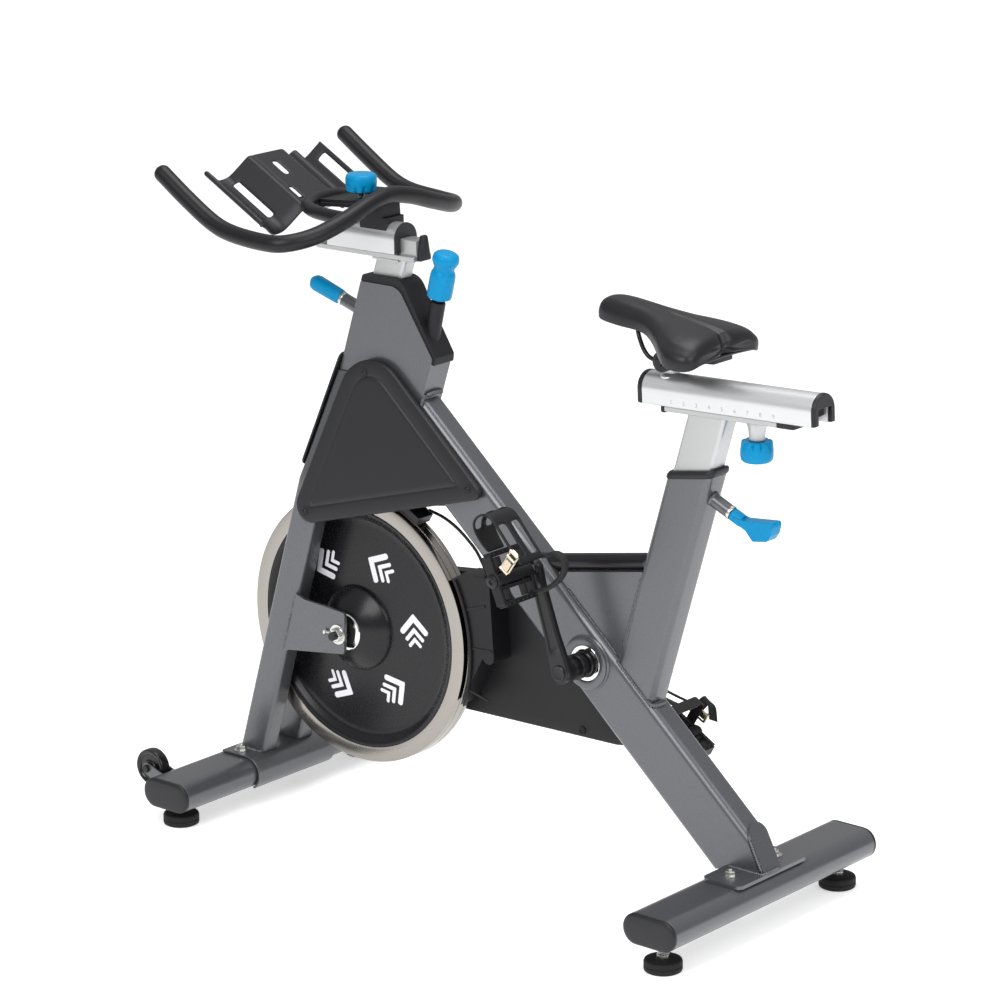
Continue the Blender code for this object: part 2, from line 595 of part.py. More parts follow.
for hand, sign in (("left", -1), ("right", 1)):
    tip = pedal_at[hand]
    arm = plate(f"crank_{hand}", [two_circles(CRANK_X, CRANK_Z, 0.0195, tip.x, tip.z, 0.0140, 8)], CRANK_T,
                side(sign * CRANK_Y), BLACK)
    weld(arm, cylinder("crank_boss", 0.0195, (CRANK_X, sign * (spindle_end + GAP), CRANK_Z),
                       (CRANK_X, sign * CRANK_Y, CRANK_Z), BLACK),
         cylinder("pedal_axle", 0.0065, (tip.x, sign * CRANK_Y, tip.z), (tip.x, sign * 0.186, tip.z),
                  CHROME, 16))
    pivot(arm, (CRANK_X, sign * CRANK_Y, CRANK_Z))

# Pedals: a windowed platform on the axle, and a toe cage with its strap
for hand, sign in (("left", -1), ("right", 1)):
    frame = Matrix.Translation(pedal_at[hand]) @ Matrix.Rotation(PEDAL_TURN[hand], 4, "Y")
    windows = [rounded(box2(0.024, 0.062, x, 0), 0.004, 2)[::-1] for x in (-0.026, 0.024)]
    deck = plate(f"pedal_{hand}", [rounded(box2(0.088, 0.086), 0.012), *windows], 0.022, frame, BLACK)
    cut(deck, cylinder("axle_bore", 0.0072, pedal_at[hand] - Vector((0, 0.1, 0)),
                       pedal_at[hand] + Vector((0, 0.1, 0)), BLACK, 16))
    toe = smooth([(-0.0445, -0.0085), (-0.082, -0.0085), (-0.102, 0.002), (-0.104, 0.021), (-0.088, 0.038),
                  (-0.050, 0.065), (-0.014, 0.0845)], 3)
    band = plate(f"toe_cage_{hand}", [ribbon(toe, 0.003)], 0.062, frame @ side(), BLACK)
    strap = rounded(box2(0.0935, 0.0990, 0, 0.03575), [0.003, 0.014, 0.014, 0.003], 2)
    strap_in = rounded(box2(0.0885, 0.0940, 0, 0.03575), [0.0008, 0.0115, 0.0115, 0.0008], 2)[::-1]
    across = frame @ Matrix.Translation((-0.024, 0, 0)) @ along((0, 0, 0), (1, 0, 0))
    cut(band, plate("cage_window", [rounded(box2(0.036, 0.036, -0.078, 0), 0.008, 2)], 0.2, frame, BLACK))
    weld(band, plate("strap", [strap, strap_in], 0.018, across, BLACK))

# Flywheel: a polished rim, a dished disc with its small pulley, and a fixed axle
wheel = Matrix.Translation((FLY_X, 0, FLY_Z)) @ side()
inner_r = FLY_R - FLY_RING
turned("flywheel_rim", [(inner_r, FLY_HALF), (FLY_R - 0.002, FLY_HALF), (FLY_R, FLY_HALF - 0.002),
                        (FLY_R, 0.003), (FLY_R - 0.002, 0.002), (FLY_R - 0.002, -0.002), (FLY_R, -0.003),
                        (FLY_R, 0.002 - FLY_HALF), (FLY_R - 0.002, -FLY_HALF), (inner_r, -FLY_HALF)],
       wheel, CHROME, 44, True)
dish = [(AXLE_R + 0.0007, 0.050), (0.018, 0.050), (0.028, 0.045), (0.055, 0.032), (0.075, 0.014),
        (0.178, 0.009), (inner_r - 0.010, 0.016), (inner_r - GAP, 0.016), (inner_r - GAP, -0.016),
        (inner_r - 0.010, -0.016), (0.178, -0.009), (0.060, -0.009), (0.028, -0.0265),
        (0.028, -BELT_Y + 0.008), (PULLEY_SMALL, -BELT_Y + 0.008), (PULLEY_SMALL, -BELT_Y - 0.008),
        (AXLE_R + 0.0007, -BELT_Y - 0.008)]
turned("flywheel_disc", dish, wheel, BLACK, 44, True)
nut_in, nut_out, axle_end = LEG_OUT + 0.0048, 0.0750, 0.080
turned("flywheel_axle", [(0, axle_end), (0.0075, axle_end), (0.0075, nut_out), (0.0140, nut_out),
                         (0.0140, nut_in), (AXLE_R, nut_in), (AXLE_R, -nut_in), (0.0140, -nut_in),
                         (0.0140, -nut_out), (0.0075, -nut_out), (0.0075, -axle_end), (0, -axle_end)],
       wheel, CHROME, 18)

# Belt and the two halves of its guard
loop = [two_circles(FLY_X, FLY_Z, PULLEY_SMALL + t, CRANK_X, CRANK_Z, PULLEY_BIG + t, 16)
        for t in (BELT_T + 0.0005, 0.0005)]
plate("drive_belt", [loop[0], loop[1][::-1]], BELT_W, side(BELT_Y), RUBBER)


def guard_outline(inset):
    """Side outline of the guard: round the axle in front, flat below, squared off behind the crank."""
    r = 0.105 - inset
    front = arc(FLY_X, FLY_Z, r, 98, 255, 8)
    rest = [(-0.100, 0.2195 + inset), (0.283 - inset, 0.2275 + inset), (0.283 - inset, 0.476 - inset),
            (0.08, 0.476 - inset)]
    return rounded(front + rest, [0] * (len(front) + 1) + [0.07, 0.09, 0.08], 4)


def guard_half(name, y0, y1, open_sign, holes):
    body = plate(name, [guard_outline(0)], y1 - y0, side((y0 + y1) / 2), BLACK)
    cut(body, plate("guard_hollow", [guard_outline(0.0025)], y1 - y0,
                    side((y0 + y1) / 2 + open_sign * 0.0025), BLACK))
    cut(body, *[cylinder("guard_hole", r, (x, y0 - 0.02, z), (x, y1 + 0.02, z), BLACK) for x, z, r in holes])
    return body


GUARD_IN, GUARD_MID, GUARD_OUT = BEAM_W / 2 + 0.0033, 0.0450, 0.0560
inner_guard = guard_half("belt_guard_inner", GUARD_IN, GUARD_MID, 1,
                         [(CRANK_X, CRANK_Z, 0.0135), (FLY_X, FLY_Z, 0.0295)])
guard_half("belt_guard_outer", GUARD_MID + GAP, GUARD_OUT, -1,
           [(CRANK_X, CRANK_Z, 0.0225), (FLY_X, FLY_Z, 0.0125)])
fender = arc(FLY_X, FLY_Z, FLY_R + 0.007, -22, 31, 8)
fender = fender + rounded([(-0.070, 0.468), (-0.012, 0.470), (0.004, 0.240)], [0, 0.012, 0.012])
weld(inner_guard, plate("fender", [fender], GUARD_IN + 0.016 + 0.001,
                        side((GUARD_IN + 0.001 - 0.016) / 2), BLACK))

# Push brake: a rod through boot and head, a shoe over the rim, a knob that turns on the rod
rod = cylinder("brake_rod", 0.0070, BRAKE_TOP - brake_axis * 0.046, BRAKE_TOP - brake_axis * 0.434,
               DARK, 16)
pivot(rod, BRAKE_TOP)
shoe = arc(FLY_X, FLY_Z, FLY_R + 0.0055, 79, 57, 6) + arc(FLY_X, FLY_Z, FLY_R + 0.022, 57, 79, 6)
pad = plate("brake_shoe", [shoe], 2 * FLY_HALF, side(), BLACK)
cut(pad, cylinder("rod_socket", 0.0074, BRAKE_TOP - brake_axis * 0.2, BRAKE_TOP - brake_axis * 0.4345,
                  BLACK, 16))
pivot(pad, BRAKE_TOP)
grip = [(0, 0.000), (0.014, -0.001), (0.0205, -0.006), (0.0215, -0.016), (0.0165, -0.026),
        (0.0205, -0.044), (0.0205, -0.074), (0.0185, -0.078), (0.0075, -0.078), (0.0075, -0.0455),
        (0, -0.0455)]
turned("brake_knob", grip, along(BRAKE_TOP, brake_axis), BLUE, 20)

brow, chin = Vector((-0.190, 0.9245)), Vector((-0.1186, 0.816))      # the head's rear slope
push = Vector((brow.y - chin.y, chin.x - brow.x)).normalized()
boot_side = [(head_front(HEAD_TOP) - 0.001, HEAD_TOP + 0.0005),
             (head_front(HEAD_TOP + 0.012) - 0.001, 0.936),
             (-0.184, 0.9385), tuple(chin * 0.62 + brow * 0.38 + push * 0.008), tuple(chin + push * 0.0065),
             (-0.1150, 0.806), (-0.1209, 0.8065), tuple(chin + push * 0.0005)]
boot_inner = rounded([(-0.30, HEAD_TOP + 0.0005), tuple(brow + push * 0.0005), tuple(chin + push * 0.0005)],
                     [0, 0.030, 0])
boot = plate("head_boot", [rounded(boot_side, [0, 0.006, 0.030, 0.020, 0.006, 0.002, 0, 0])
                           + boot_inner[-1:0:-1]], 0.044, side(), BLACK)
sleeve = cylinder("rod_sleeve", 0.0125, BRAKE_TOP - brake_axis * 0.085, BRAKE_TOP - brake_axis * 0.170,
                  BLACK, 20)
slope_at = Vector((chin.x, 0, chin.y)) + Vector((push.x, 0, push.y)) * (0.0006 - 0.1)
weld(boot, cut(sleeve, block("sleeve_trim", (0.2, 0.2, 0.6), slope_at, BLACK, -atan2(push.y, push.x))))
cut(boot, tube("boot_hole", box_section(BAR_POST[1] + 0.0008, BAR_POST[0] + 0.0008, 0.006),
               BAR_POST_AT - neck * 0.05, BAR_POST_AT + neck * 0.1, BLACK),
    cylinder("boot_bore", 0.0078, BRAKE_TOP, BRAKE_TOP - brake_axis * 0.25, BLACK, 16))


# Spring pins that lock the posts: a nose in the barrel and a grip outside
def pull_pin(name, at, out, barrel, grip_points, width):
    """A pin along `out` with a flat paddle grip drawn in the side view."""
    pin = cylinder(name, 0.0058, at + out * 0.0005, at + out * (barrel + 0.012), BLUE, 16)
    weld(pin, plate("grip", [grip_points], width, side(), BLUE))
    return pivot(pin, at)


grip_up = Vector((-pin_out.z, 0, pin_out.x))
start = pin_at + pin_out * 0.0482


def front_grip(a, b):
    p = start + pin_out * a + grip_up * b
    return (p.x, p.z)


grip_ends = ((0, -0.0115), (0, 0.0115), (0.067, 0.0125), (0.067, -0.0125))
soften(pull_pin("bar_pin", pin_at, pin_out, 0.0475,
                rounded([front_grip(*p) for p in grip_ends], 0.004), 0.023), 0.004, 1, 60)
neck_at = knob_at + seat_pull * 0.0405
lever = [(0.4705, 0.6522), (0.4737, 0.6596), (0.4881, 0.6565), (0.5452, 0.6622), (0.5463, 0.6553),
         (0.5427, 0.6421), (0.5354, 0.6314), (0.5084, 0.6268), (0.4950, 0.6417)]
seat_pin = pull_pin("seat_pin", knob_at, seat_pull, 0.040, rounded(lever, 0.003), 0.024)
weld(seat_pin, cylinder("pin_neck", 0.0105, neck_at, neck_at + seat_pull * 0.022, BLUE, 20))


# Posts, rails and sliders
def rail_outline():
    return [(0.0215, -0.009), (0.0215, -0.0006), (0.0150, -0.0006), (0.0150, 0.0250), (-0.0150, 0.0250),
            (-0.0150, -0.0006), (-0.0215, -0.0006), (-0.0215, -0.009)]


def slider_outline():
    """Round-topped channel, open below, that rides over the rail."""
    return ([(0.0255, 0)] + arc(0, 0.0225, 0.0255, 0, 180, 12)
            + [(-0.0255, 0), (-0.0155, 0), (-0.0155, 0.0256), (0.0155, 0.0256), (0.0155, 0)])


def rail_frame(at, tilt):
    return along(at, (cos(tilt), 0, sin(tilt)))


def post(name, section, foot, head, rail_at, tilt, length):
    """A rectangular post with its rail on top, one welded piece."""
    frame = rail_frame(rail_at, tilt)
    made = plate(name, [rail_outline()], length, frame, SILVER)
    stem = tube("post_leg", box_section(section[1], section[0], 0.006), foot, head, SILVER)
    over = block("post_trim", (0.3, 0.2, 0.1), frame @ Vector((0, 0.0474, 0)), SILVER, -tilt)
    weld(made, cut(stem, over))
    return made


bar_post = post("handlebar_post", BAR_POST, BAR_POST_AT - neck * 0.235, BAR_POST_AT + neck * 0.062,
                BAR_RAIL_AT, BAR_RAIL_TILT, BAR_RAIL_L)
pivot(bar_post, BAR_POST_AT)
rail_cap = [(0.0135, -0.0085), (0.0060, 0.0325), (-0.0060, 0.0325), (-0.0135, -0.0085)]
weld(bar_post, plate("rail_cap", [rail_cap], 0.007, rail_frame(BAR_RAIL_AT, BAR_RAIL_TILT)
                     @ Matrix.Translation((0, 0, BAR_RAIL_L / 2 + 0.0035)), BLACK))
SLIDER_AT = Vector((-0.268, 0, 0.9755))
bar_slider = plate("handlebar_slider", [slider_outline()], BAR_SLIDER_L,
                   rail_frame(SLIDER_AT, BAR_RAIL_TILT), SILVER)
KNOB_X = -0.287
cut(bar_slider, cylinder("stud_hole", 0.0066, (KNOB_X, 0, 0.99), (KNOB_X, 0, 1.06), SILVER, 16))

seat_post = post("seat_post", SEAT_POST, seat_at(0.475), seat_at(0.830), SEAT_RAIL_AT, SEAT_RAIL_TILT,
                 SEAT_RAIL_L)
pivot(seat_post, seat_at(SEAT_TOP))
SEAT_KNOB = Vector((0.507, 0, 0.784))
weld(seat_post, cylinder("stud_boss", 0.0125, SEAT_KNOB, SEAT_KNOB + Vector((0, 0, 0.032)), SILVER, 20))
cut(seat_post, cylinder("stud_bore", 0.0058, SEAT_KNOB - Vector((0, 0, 0.01)),
                        SEAT_KNOB + Vector((0, 0, 0.024)), SILVER, 16))
SEAT_SLIDER_AT = Vector((0.4660, 0, 0.8204))
seat_slider = plate("seat_slider", [slider_outline()], SEAT_SLIDER_L,
                    rail_frame(SEAT_SLIDER_AT, SEAT_RAIL_TILT), SILVER)
CLAMP = Vector((0.343, 0, 0.884))
weld(seat_slider, cylinder("saddle_pin", 0.0105, (CLAMP.x, 0, 0.856), (CLAMP.x, 0, CLAMP.z - 0.0145),
                           SILVER, 20))


def clamp_knob(name, at, r, height, stud, up):
    """A scalloped hand knob with its stud, turned about a vertical axis."""
    turn = [(2 * pi * k / 32, r * (1 - 0.05 * (k % 4 == 0))) for k in range(32)]
    lobes = [(reach * cos(a), reach * sin(a)) for a, reach in turn]
    knob = plate(name, [lobes], height, Matrix.Translation(at + Vector((0, 0, up * height / 2))), BLUE)
    soften(knob, 0.003, 1, 60)
    weld(knob, cylinder("stud", 0.0050, at + Vector((0, 0, up * height / 2)),
                        at - Vector((0, 0, up * stud)), DARK, 16))
    return pivot(knob, at)


clamp_knob("seat_knob", SEAT_KNOB - Vector((0, 0, 0.0008)), 0.0255, 0.033, 0.022, -1)
clamp_knob("handlebar_knob", Vector((KNOB_X, 0, 1.0655)), 0.0255, 0.029, 0.062, 1)

# Handlebar: one long bent bar, a loop welded inside it and the stem that carries both
def both_sides(half):
    """A path through the right half's points and, reflected, the left half's."""
    return smooth([(x, -y, z) for x, y, z in reversed(half[1:])] + half, 2)


bar_half = [(-0.2290, 0.0, 1.0650), (-0.228, 0.050, 1.0575), (-0.230, 0.105, 1.0405),
            (-0.242, 0.163, 1.0235), (-0.268, 0.204, 1.0155), (-0.306, 0.2145, 1.0150),
            (-0.370, 0.2155, 1.0205), (-0.412, 0.216, 1.0335), (-0.466, 0.217, 1.065),
            (-0.5285, 0.217, 1.1059)]
loop_half = [(-0.366, 0.0, 1.0460), (-0.361, 0.036, 1.0455), (-0.342, 0.068, 1.0445),
             (-0.310, 0.087, 1.0430), (-0.272, 0.095, 1.0425), (-0.232, 0.098, 1.0425)]
handlebar = wire("handlebar", both_sides(bar_half), BAR_R, RUBBER, 2)
stem_side = [(-0.345, 1.036), (-0.378, 1.0225), (-0.4065, 1.0385), (-0.403, 1.0452), (-0.3768, 1.0307),
             (-0.345, 1.046), (-0.250, 1.054), (-0.225, 1.062), (-0.212, 1.0258), (-0.268, 1.0246),
             (-0.272, 1.042)]
weld(handlebar, wire("loop", both_sides(loop_half), RING_R, RUBBER, 2),
     plate("stem", [stem_side], 0.044, side(), BLACK),
     plate("web", [rounded(box2(0.128, 0.060), 0.020)], 0.006,
           Matrix.Translation((-0.302, 0, 1.0500)) @ Matrix.Rotation(-radians(5), 4, "Y"), BLACK))
cut(handlebar, cylinder("stem_hole", 0.0066, (KNOB_X, 0, 1.0), (KNOB_X, 0, 1.12), BLACK, 16))

# Bottle tray: a slotted bridge between two troughs, tilted up to the front; the stem's arm holds it up
TRAY_L, TRAY_TILT = 0.142, radians(29)
tray_section = [(-0.130, 0.036), (-0.114, 0.027), (-0.0895, 0.010), (-0.064, 0.015), (-0.0415, 0.048),
                (-0.036, 0.050), (0.040, 0.050), (0.046, 0.048), (0.066, 0.033), (0.077, 0.0395),
                (0.088, 0.030), (0.096, 0.016), (0.111, 0.0155), (0.1226, 0.0266),
                (0.136, 0.049)]                         # across, height
tray_slots = [(-0.068, 0.0065, 0.015, 0.089), (0.127, 0.0065, 0.009, 0.089), (0.0, 0.0295, 0.012, 0.035),
              (-0.0235, -0.034, 0.008, 0.030)]          # across, forward of the middle, width, length
tray_way = Vector((-cos(TRAY_TILT), 0, sin(TRAY_TILT)))
tray_mid = Vector((-0.4000, 0, 0.989)) + tray_way * TRAY_L / 2
tray_frame = along(tray_mid, tray_way) @ Matrix.Rotation(pi, 4, "Z")
tray = plate("bottle_tray", [ribbon([(-y, h) for y, h in tray_section], 0.0035)], TRAY_L, tray_frame, BLACK)
cut(tray, *[plate("tray_slot", [rounded(box2(w, length, -y, -ahead), 0.0038, 3)], 0.2,
                  tray_frame @ Matrix.Rotation(-pi / 2, 4, "X"), BLACK)
            for y, ahead, w, length in tray_slots])

# Saddle: padded shell lofted along its length, with a groove down the tail, on wire rails
stations = [  # distance back, half width, top, lower edge
    (0.2105, 0.006, 0.947, 0.938), (0.2135, 0.015, 0.956, 0.936), (0.2200, 0.022, 0.9635, 0.9345),
    (0.2310, 0.027, 0.9685, 0.933), (0.2460, 0.030, 0.9700, 0.932), (0.2700, 0.0315, 0.9685, 0.930),
    (0.2980, 0.033, 0.9650, 0.929), (0.3200, 0.0385, 0.9615, 0.9265), (0.3400, 0.049, 0.9580, 0.9205),
    (0.3590, 0.0625, 0.9545, 0.912), (0.3780, 0.0785, 0.9515, 0.904), (0.3960, 0.091, 0.9485, 0.898),
    (0.4110, 0.0955, 0.9460, 0.8955), (0.4250, 0.0955, 0.9435, 0.895), (0.4370, 0.0925, 0.9400, 0.8955),
    (0.4450, 0.085, 0.9350, 0.8975), (0.4495, 0.072, 0.9270, 0.902)]


def saddle_ring(x, w, top, low):
    """Half section from the middle of the top, over the shoulder and in under the skirt."""
    groove = 0.006 * min(1, max(0, (x - 0.29) / 0.06))
    drop = top - low
    shape = [(0, top - groove), (0.06 * w, top - 0.7 * groove), (0.13 * w, top - 0.005 * drop),
             (0.36 * w, top - 0.03 * drop), (0.58 * w, top - 0.09 * drop), (0.80 * w, top - 0.24 * drop),
             (0.95 * w, top - 0.47 * drop), (1.00 * w, top - 0.70 * drop), (0.97 * w, low),
             (0.86 * w, low + 0.05 * drop), (0.45 * w, low + 0.22 * drop), (0, low + 0.24 * drop)]
    right = [(x, y, z) for y, z in shape]
    return right + [(x, -y, z) for x, y, z in reversed(right[1:-1])]


cushion = bmesh.new()
rings = [[cushion.verts.new(p) for p in saddle_ring(*s)] for s in stations]
for a, b in zip(rings, rings[1:]):
    for k in range(len(a)):
        cushion.faces.new((a[k - 1], a[k], b[k], b[k - 1]))
cushion.faces.new(rings[0])
cushion.faces.new(rings[-1])
cushion_mesh = bpy.data.meshes.new("saddle")
cushion.to_mesh(cushion_mesh)
cushion.free()
cushion_obj = bpy.data.objects.new("saddle", cushion_mesh)
parts.objects.link(cushion_obj)
saddle = pivot(keep(cushion_obj, VINYL), CLAMP)
rail_half = [(0.270, 0.0, 0.9345), (0.273, 0.014, 0.9333), (0.287, 0.021, 0.9180), (0.307, 0.0215, 0.8920),
             (0.326, 0.0215, 0.8850), (0.362, 0.0215, 0.8850), (0.395, 0.0225, 0.8880),
             (0.430, 0.025, 0.9012)]
rails = wire("saddle_rails", both_sides(rail_half), 0.0035, CHROME, 1)
pivot(rails, CLAMP)
clamp = cylinder("saddle_clamp", 0.0140, CLAMP - Vector((0, 0.031, 0)), CLAMP + Vector((0, 0.031, 0)),
                 BLACK, 24)
cut(clamp, *[cylinder("rail_groove", 0.0042, (0.30, y, 0.8850), (0.39, y, 0.8850), BLACK, 12)
             for y in (-0.0215, 0.0215)])
pivot(clamp, CLAMP)
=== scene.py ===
"""Indoor spin bike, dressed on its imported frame.

+X points to the rear, -Y is the rider's left, +Z is up and the floor is Z = 0, all in metres.
"""
from math import atan2, cos, pi, radians, sin, tan

import bmesh
import bpy
import numpy as np
from mathutils import Matrix, Vector


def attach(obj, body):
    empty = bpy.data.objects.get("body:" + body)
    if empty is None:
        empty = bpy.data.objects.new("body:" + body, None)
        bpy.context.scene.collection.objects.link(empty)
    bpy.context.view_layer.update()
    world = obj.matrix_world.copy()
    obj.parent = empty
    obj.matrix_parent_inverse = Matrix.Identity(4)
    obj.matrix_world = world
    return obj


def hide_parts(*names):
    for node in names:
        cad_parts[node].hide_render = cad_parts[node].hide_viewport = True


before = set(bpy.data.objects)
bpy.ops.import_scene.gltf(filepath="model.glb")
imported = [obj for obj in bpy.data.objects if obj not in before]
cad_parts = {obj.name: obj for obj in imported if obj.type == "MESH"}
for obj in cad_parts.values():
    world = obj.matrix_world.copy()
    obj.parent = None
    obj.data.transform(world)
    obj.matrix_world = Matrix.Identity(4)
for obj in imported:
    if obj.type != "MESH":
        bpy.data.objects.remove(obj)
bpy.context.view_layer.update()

# Camera: a long lens at the rider's left rear, a little above the saddle, turned by under half a degree.
# A narrow view of about 14 degrees keeps the bike's lines nearly parallel.
scene = bpy.context.scene
scene.view_settings.view_transform = "Standard"
AIM, AWAY, ROLL = Vector((0, 0, 0.600)), 6.536, radians(-0.398)
BACK = Vector((0.6208, -0.735, 0.2728)).normalized()
lens = bpy.data.cameras.new("camera")
lens.sensor_width, lens.lens, lens.clip_end = 36, 147.68, 80
camera = bpy.data.objects.new("camera", lens)
camera.matrix_world = (Matrix.Translation(AIM + BACK * AWAY) @ BACK.to_track_quat("Z", "Y").to_matrix().to_4x4()
                       @ Matrix.Rotation(ROLL, 4, "Z"))
scene.collection.objects.link(camera)
scene.camera = camera


# Floor and light: a matt white studio sweep under large soft boxes.
# The room is brighter overhead than at the horizon, so that polished metal has something to show.
def lin(code):
    """Linear RGBA of an sRGB hex colour: ((c + 0.055) / 1.055) ^ 2.4, or c / 12.92 where c is small."""
    c = np.array([int(code[k:k + 2], 16) for k in (1, 3, 5)]) / 255
    return (*np.where(c > 0.04045, ((c + 0.055) / 1.055) ** 2.4, c / 12.92).tolist(), 1.0)


def add(tree, kind, values=(), links=(), **settings):
    """Adds one node: its settings, its socket values, and links from other nodes' outputs."""
    made = tree.nodes.new("ShaderNode" + kind)
    for key, value in settings.items():
        setattr(made, key, value)
    for key, value in dict(values).items():
        made.inputs[key].default_value = value
    for key, output in dict(links).items():
        tree.links.new(output, made.inputs[key])
    return made


def finish(name, slot, pale, dark, grain, rough, depth, stretch=(1, 1, 1), **sockets):
    """A surface with a grain: noise of one grain's size in metres mixes two colours, swings the roughness between two
    values and lifts the surface by a depth in metres. The slot is not used."""
    made = bpy.data.materials.new(name)
    made.use_nodes = True
    tree = made.node_tree
    shader = tree.nodes["Principled BSDF"]
    for key, value in sockets.items():
        shader.inputs[key.replace("_", " ")].default_value = value
    at = add(tree, "TexCoord").outputs["Object"]
    at = add(tree, "Mapping", {"Scale": [s / grain for s in stretch]}, {"Vector": at}).outputs[0]
    noise = add(tree, "TexNoise", {"Scale": 1.0, "Detail": 3.0}, {"Vector": at}).outputs["Fac"]
    # a mix keeps its colour sockets A, B and Result behind the float and vector ones
    mix = add(tree, "Mix", {6: lin(dark), 7: lin(pale)}, {"Factor": noise}, data_type="RGBA")
    tree.links.new(mix.outputs[2], shader.inputs["Base Color"])
    swing = add(tree, "MapRange", {"From Min": 0.3, "From Max": 0.7, "To Min": rough[0], "To Max": rough[1]},
                {"Value": noise})
    tree.links.new(swing.outputs[0], shader.inputs["Roughness"])
    bump = add(tree, "Bump", {"Strength": 1.0, "Distance": depth}, {"Height": noise})
    tree.links.new(bump.outputs[0], shader.inputs["Normal"])
    return made


paper = finish("matt_paper_sweep", None, "#F7F7F7", "#F3F3F3", 0.02, (0.85, 0.95), 0.0,
               Emission_Color=(1, 1, 1, 1), Emission_Strength=0.46)
FLOOR = 30
floor_mesh = bpy.data.meshes.new("floor")
floor_mesh.from_pydata([(x * FLOOR, y * FLOOR, 0) for x, y in ((-1, -1), (1, -1), (1, 1), (-1, 1))], [],
                       [(0, 1, 2, 3)])
floor_mesh.materials.append(paper)
floor = bpy.data.objects.new("floor", floor_mesh)
scene.collection.objects.link(floor)
room = bpy.data.worlds.new("studio")
room.use_nodes = True
scene.world = room
tree = room.node_tree
up = add(tree, "SeparateXYZ", links={"Vector": add(tree, "TexCoord").outputs["Generated"]}).outputs["Z"]
glow = add(tree, "MapRange", {"From Min": -0.1, "From Max": 0.8, "To Min": 0.30, "To Max": 0.66}, {"Value": up})
tree.links.new(glow.outputs[0], tree.nodes["Background"].inputs["Strength"])
tree.nodes["Background"].inputs["Color"].default_value = (1, 1, 1, 1)
for name, at, size, watts in (("key_box", (0.6, -3.6, 3.2), (2.4, 2.4), 95),
                              ("rear_box", (3.2, -0.6, 2.6), (1.6, 2.4), 42),
                              ("top_box", (0.2, 0.4, 4.2), (3.0, 2.0), 78)):
    lamp = bpy.data.lights.new(name, "AREA")
    lamp.shape, lamp.size, lamp.size_y, lamp.energy = "RECTANGLE", *size, watts
    stand = bpy.data.objects.new(name, lamp)
    stand.matrix_world = (Matrix.Translation(at)
                          @ (Vector(at) - Vector((0, 0, 0.5))).to_track_quat("Z", "Y").to_matrix().to_4x4())
    scene.collection.objects.link(stand)

# Cross tubes: two lengths of flat-sided oval steel tube, 100 by 50 mm, sprayed metallic grey.
# The flake in the paint is drawn at 0.9 mm, coarser than real, so that it shows; the lacquer over it is smooth.
grey_paint = finish("metallic_grey_lacquer", "grey_paint", "#626367", "#535458", 0.0009, (0.26, 0.34), 0.000004,
                    Metallic=0.55, Coat_Weight=0.3, Coat_Roughness=0.2)
X, Y, Z = np.eye(3)


def unit(v):
    """Vectors scaled to length 1."""
    v = np.asarray(v, float)
    return v / np.linalg.norm(v, axis=-1, keepdims=True)


def corners_of(p):
    """At each corner of a polygon: the ways back and on, half the angle between them, and their bisector."""
    a, b = unit(np.roll(p, 1, 0) - p), unit(np.roll(p, -1, 0) - p)
    return a, b, np.arccos(np.clip((a * b).sum(1), -1, 1))[:, None] / 2, unit(a + b)


def rounded(corners, radius, steps=6):
    """Polygon whose corners are arcs: centre = p + r / sin(h) on the bisector, h half the corner's angle,
    and the arc swings from one tangent point to the other."""
    p = np.array(corners, float)
    r = np.broadcast_to(np.asarray(radius, float), len(p))[:, None]
    a, b, half, middle = corners_of(p)
    centre = p + middle * r / np.sin(half)
    first, last = p + a * r / np.tan(half) - centre, p + b * r / np.tan(half) - centre
    swing, t = (pi - 2 * half)[:, None], np.linspace(0, 1, steps + 1)[None, :, None]
    arcs = (np.sin((1 - t) * swing) * first[:, None] + np.sin(t * swing) * last[:, None]) / np.sin(swing)
    return (centre[:, None] + arcs).reshape(-1, 2)


def oblong(w, h, r, steps=6):
    """Rounded rectangle about the origin."""
    return rounded([(w / 2, -h / 2), (w / 2, h / 2), (-w / 2, h / 2), (-w / 2, -h / 2)], r, steps)


def skin(rings, closed=False):
    """Surface over a grid of points: ring k goes once round the piece and is joined to ring k + 1.
    The end rings are capped, or joined to each other where the piece closes on itself."""
    rings = np.asarray(rings, float)
    n, m = rings.shape[:2]
    k, j = np.arange(n if closed else n - 1)[:, None], np.arange(m)[None, :]
    near, far = k * m, (k + 1) % n * m
    quads = np.stack([near + j, near + (j + 1) % m, far + (j + 1) % m, far + j], -1).reshape(-1, 4).tolist()
    caps = [] if closed else [list(range(m))[::-1], list(range((n - 1) * m, n * m))]
    return rings.reshape(-1, 3), quads + caps


def slab(outline, thick, at=(0, 0, 0), x=X, y=Z):
    """A flat outline in the plane of x and y, drawn out by half its thickness to each side."""
    flat = np.asarray(at, float) + np.asarray(outline) @ np.array([x, y], float)
    out = np.cross(x, y) * thick / 2
    return skin([flat - out, flat + out])


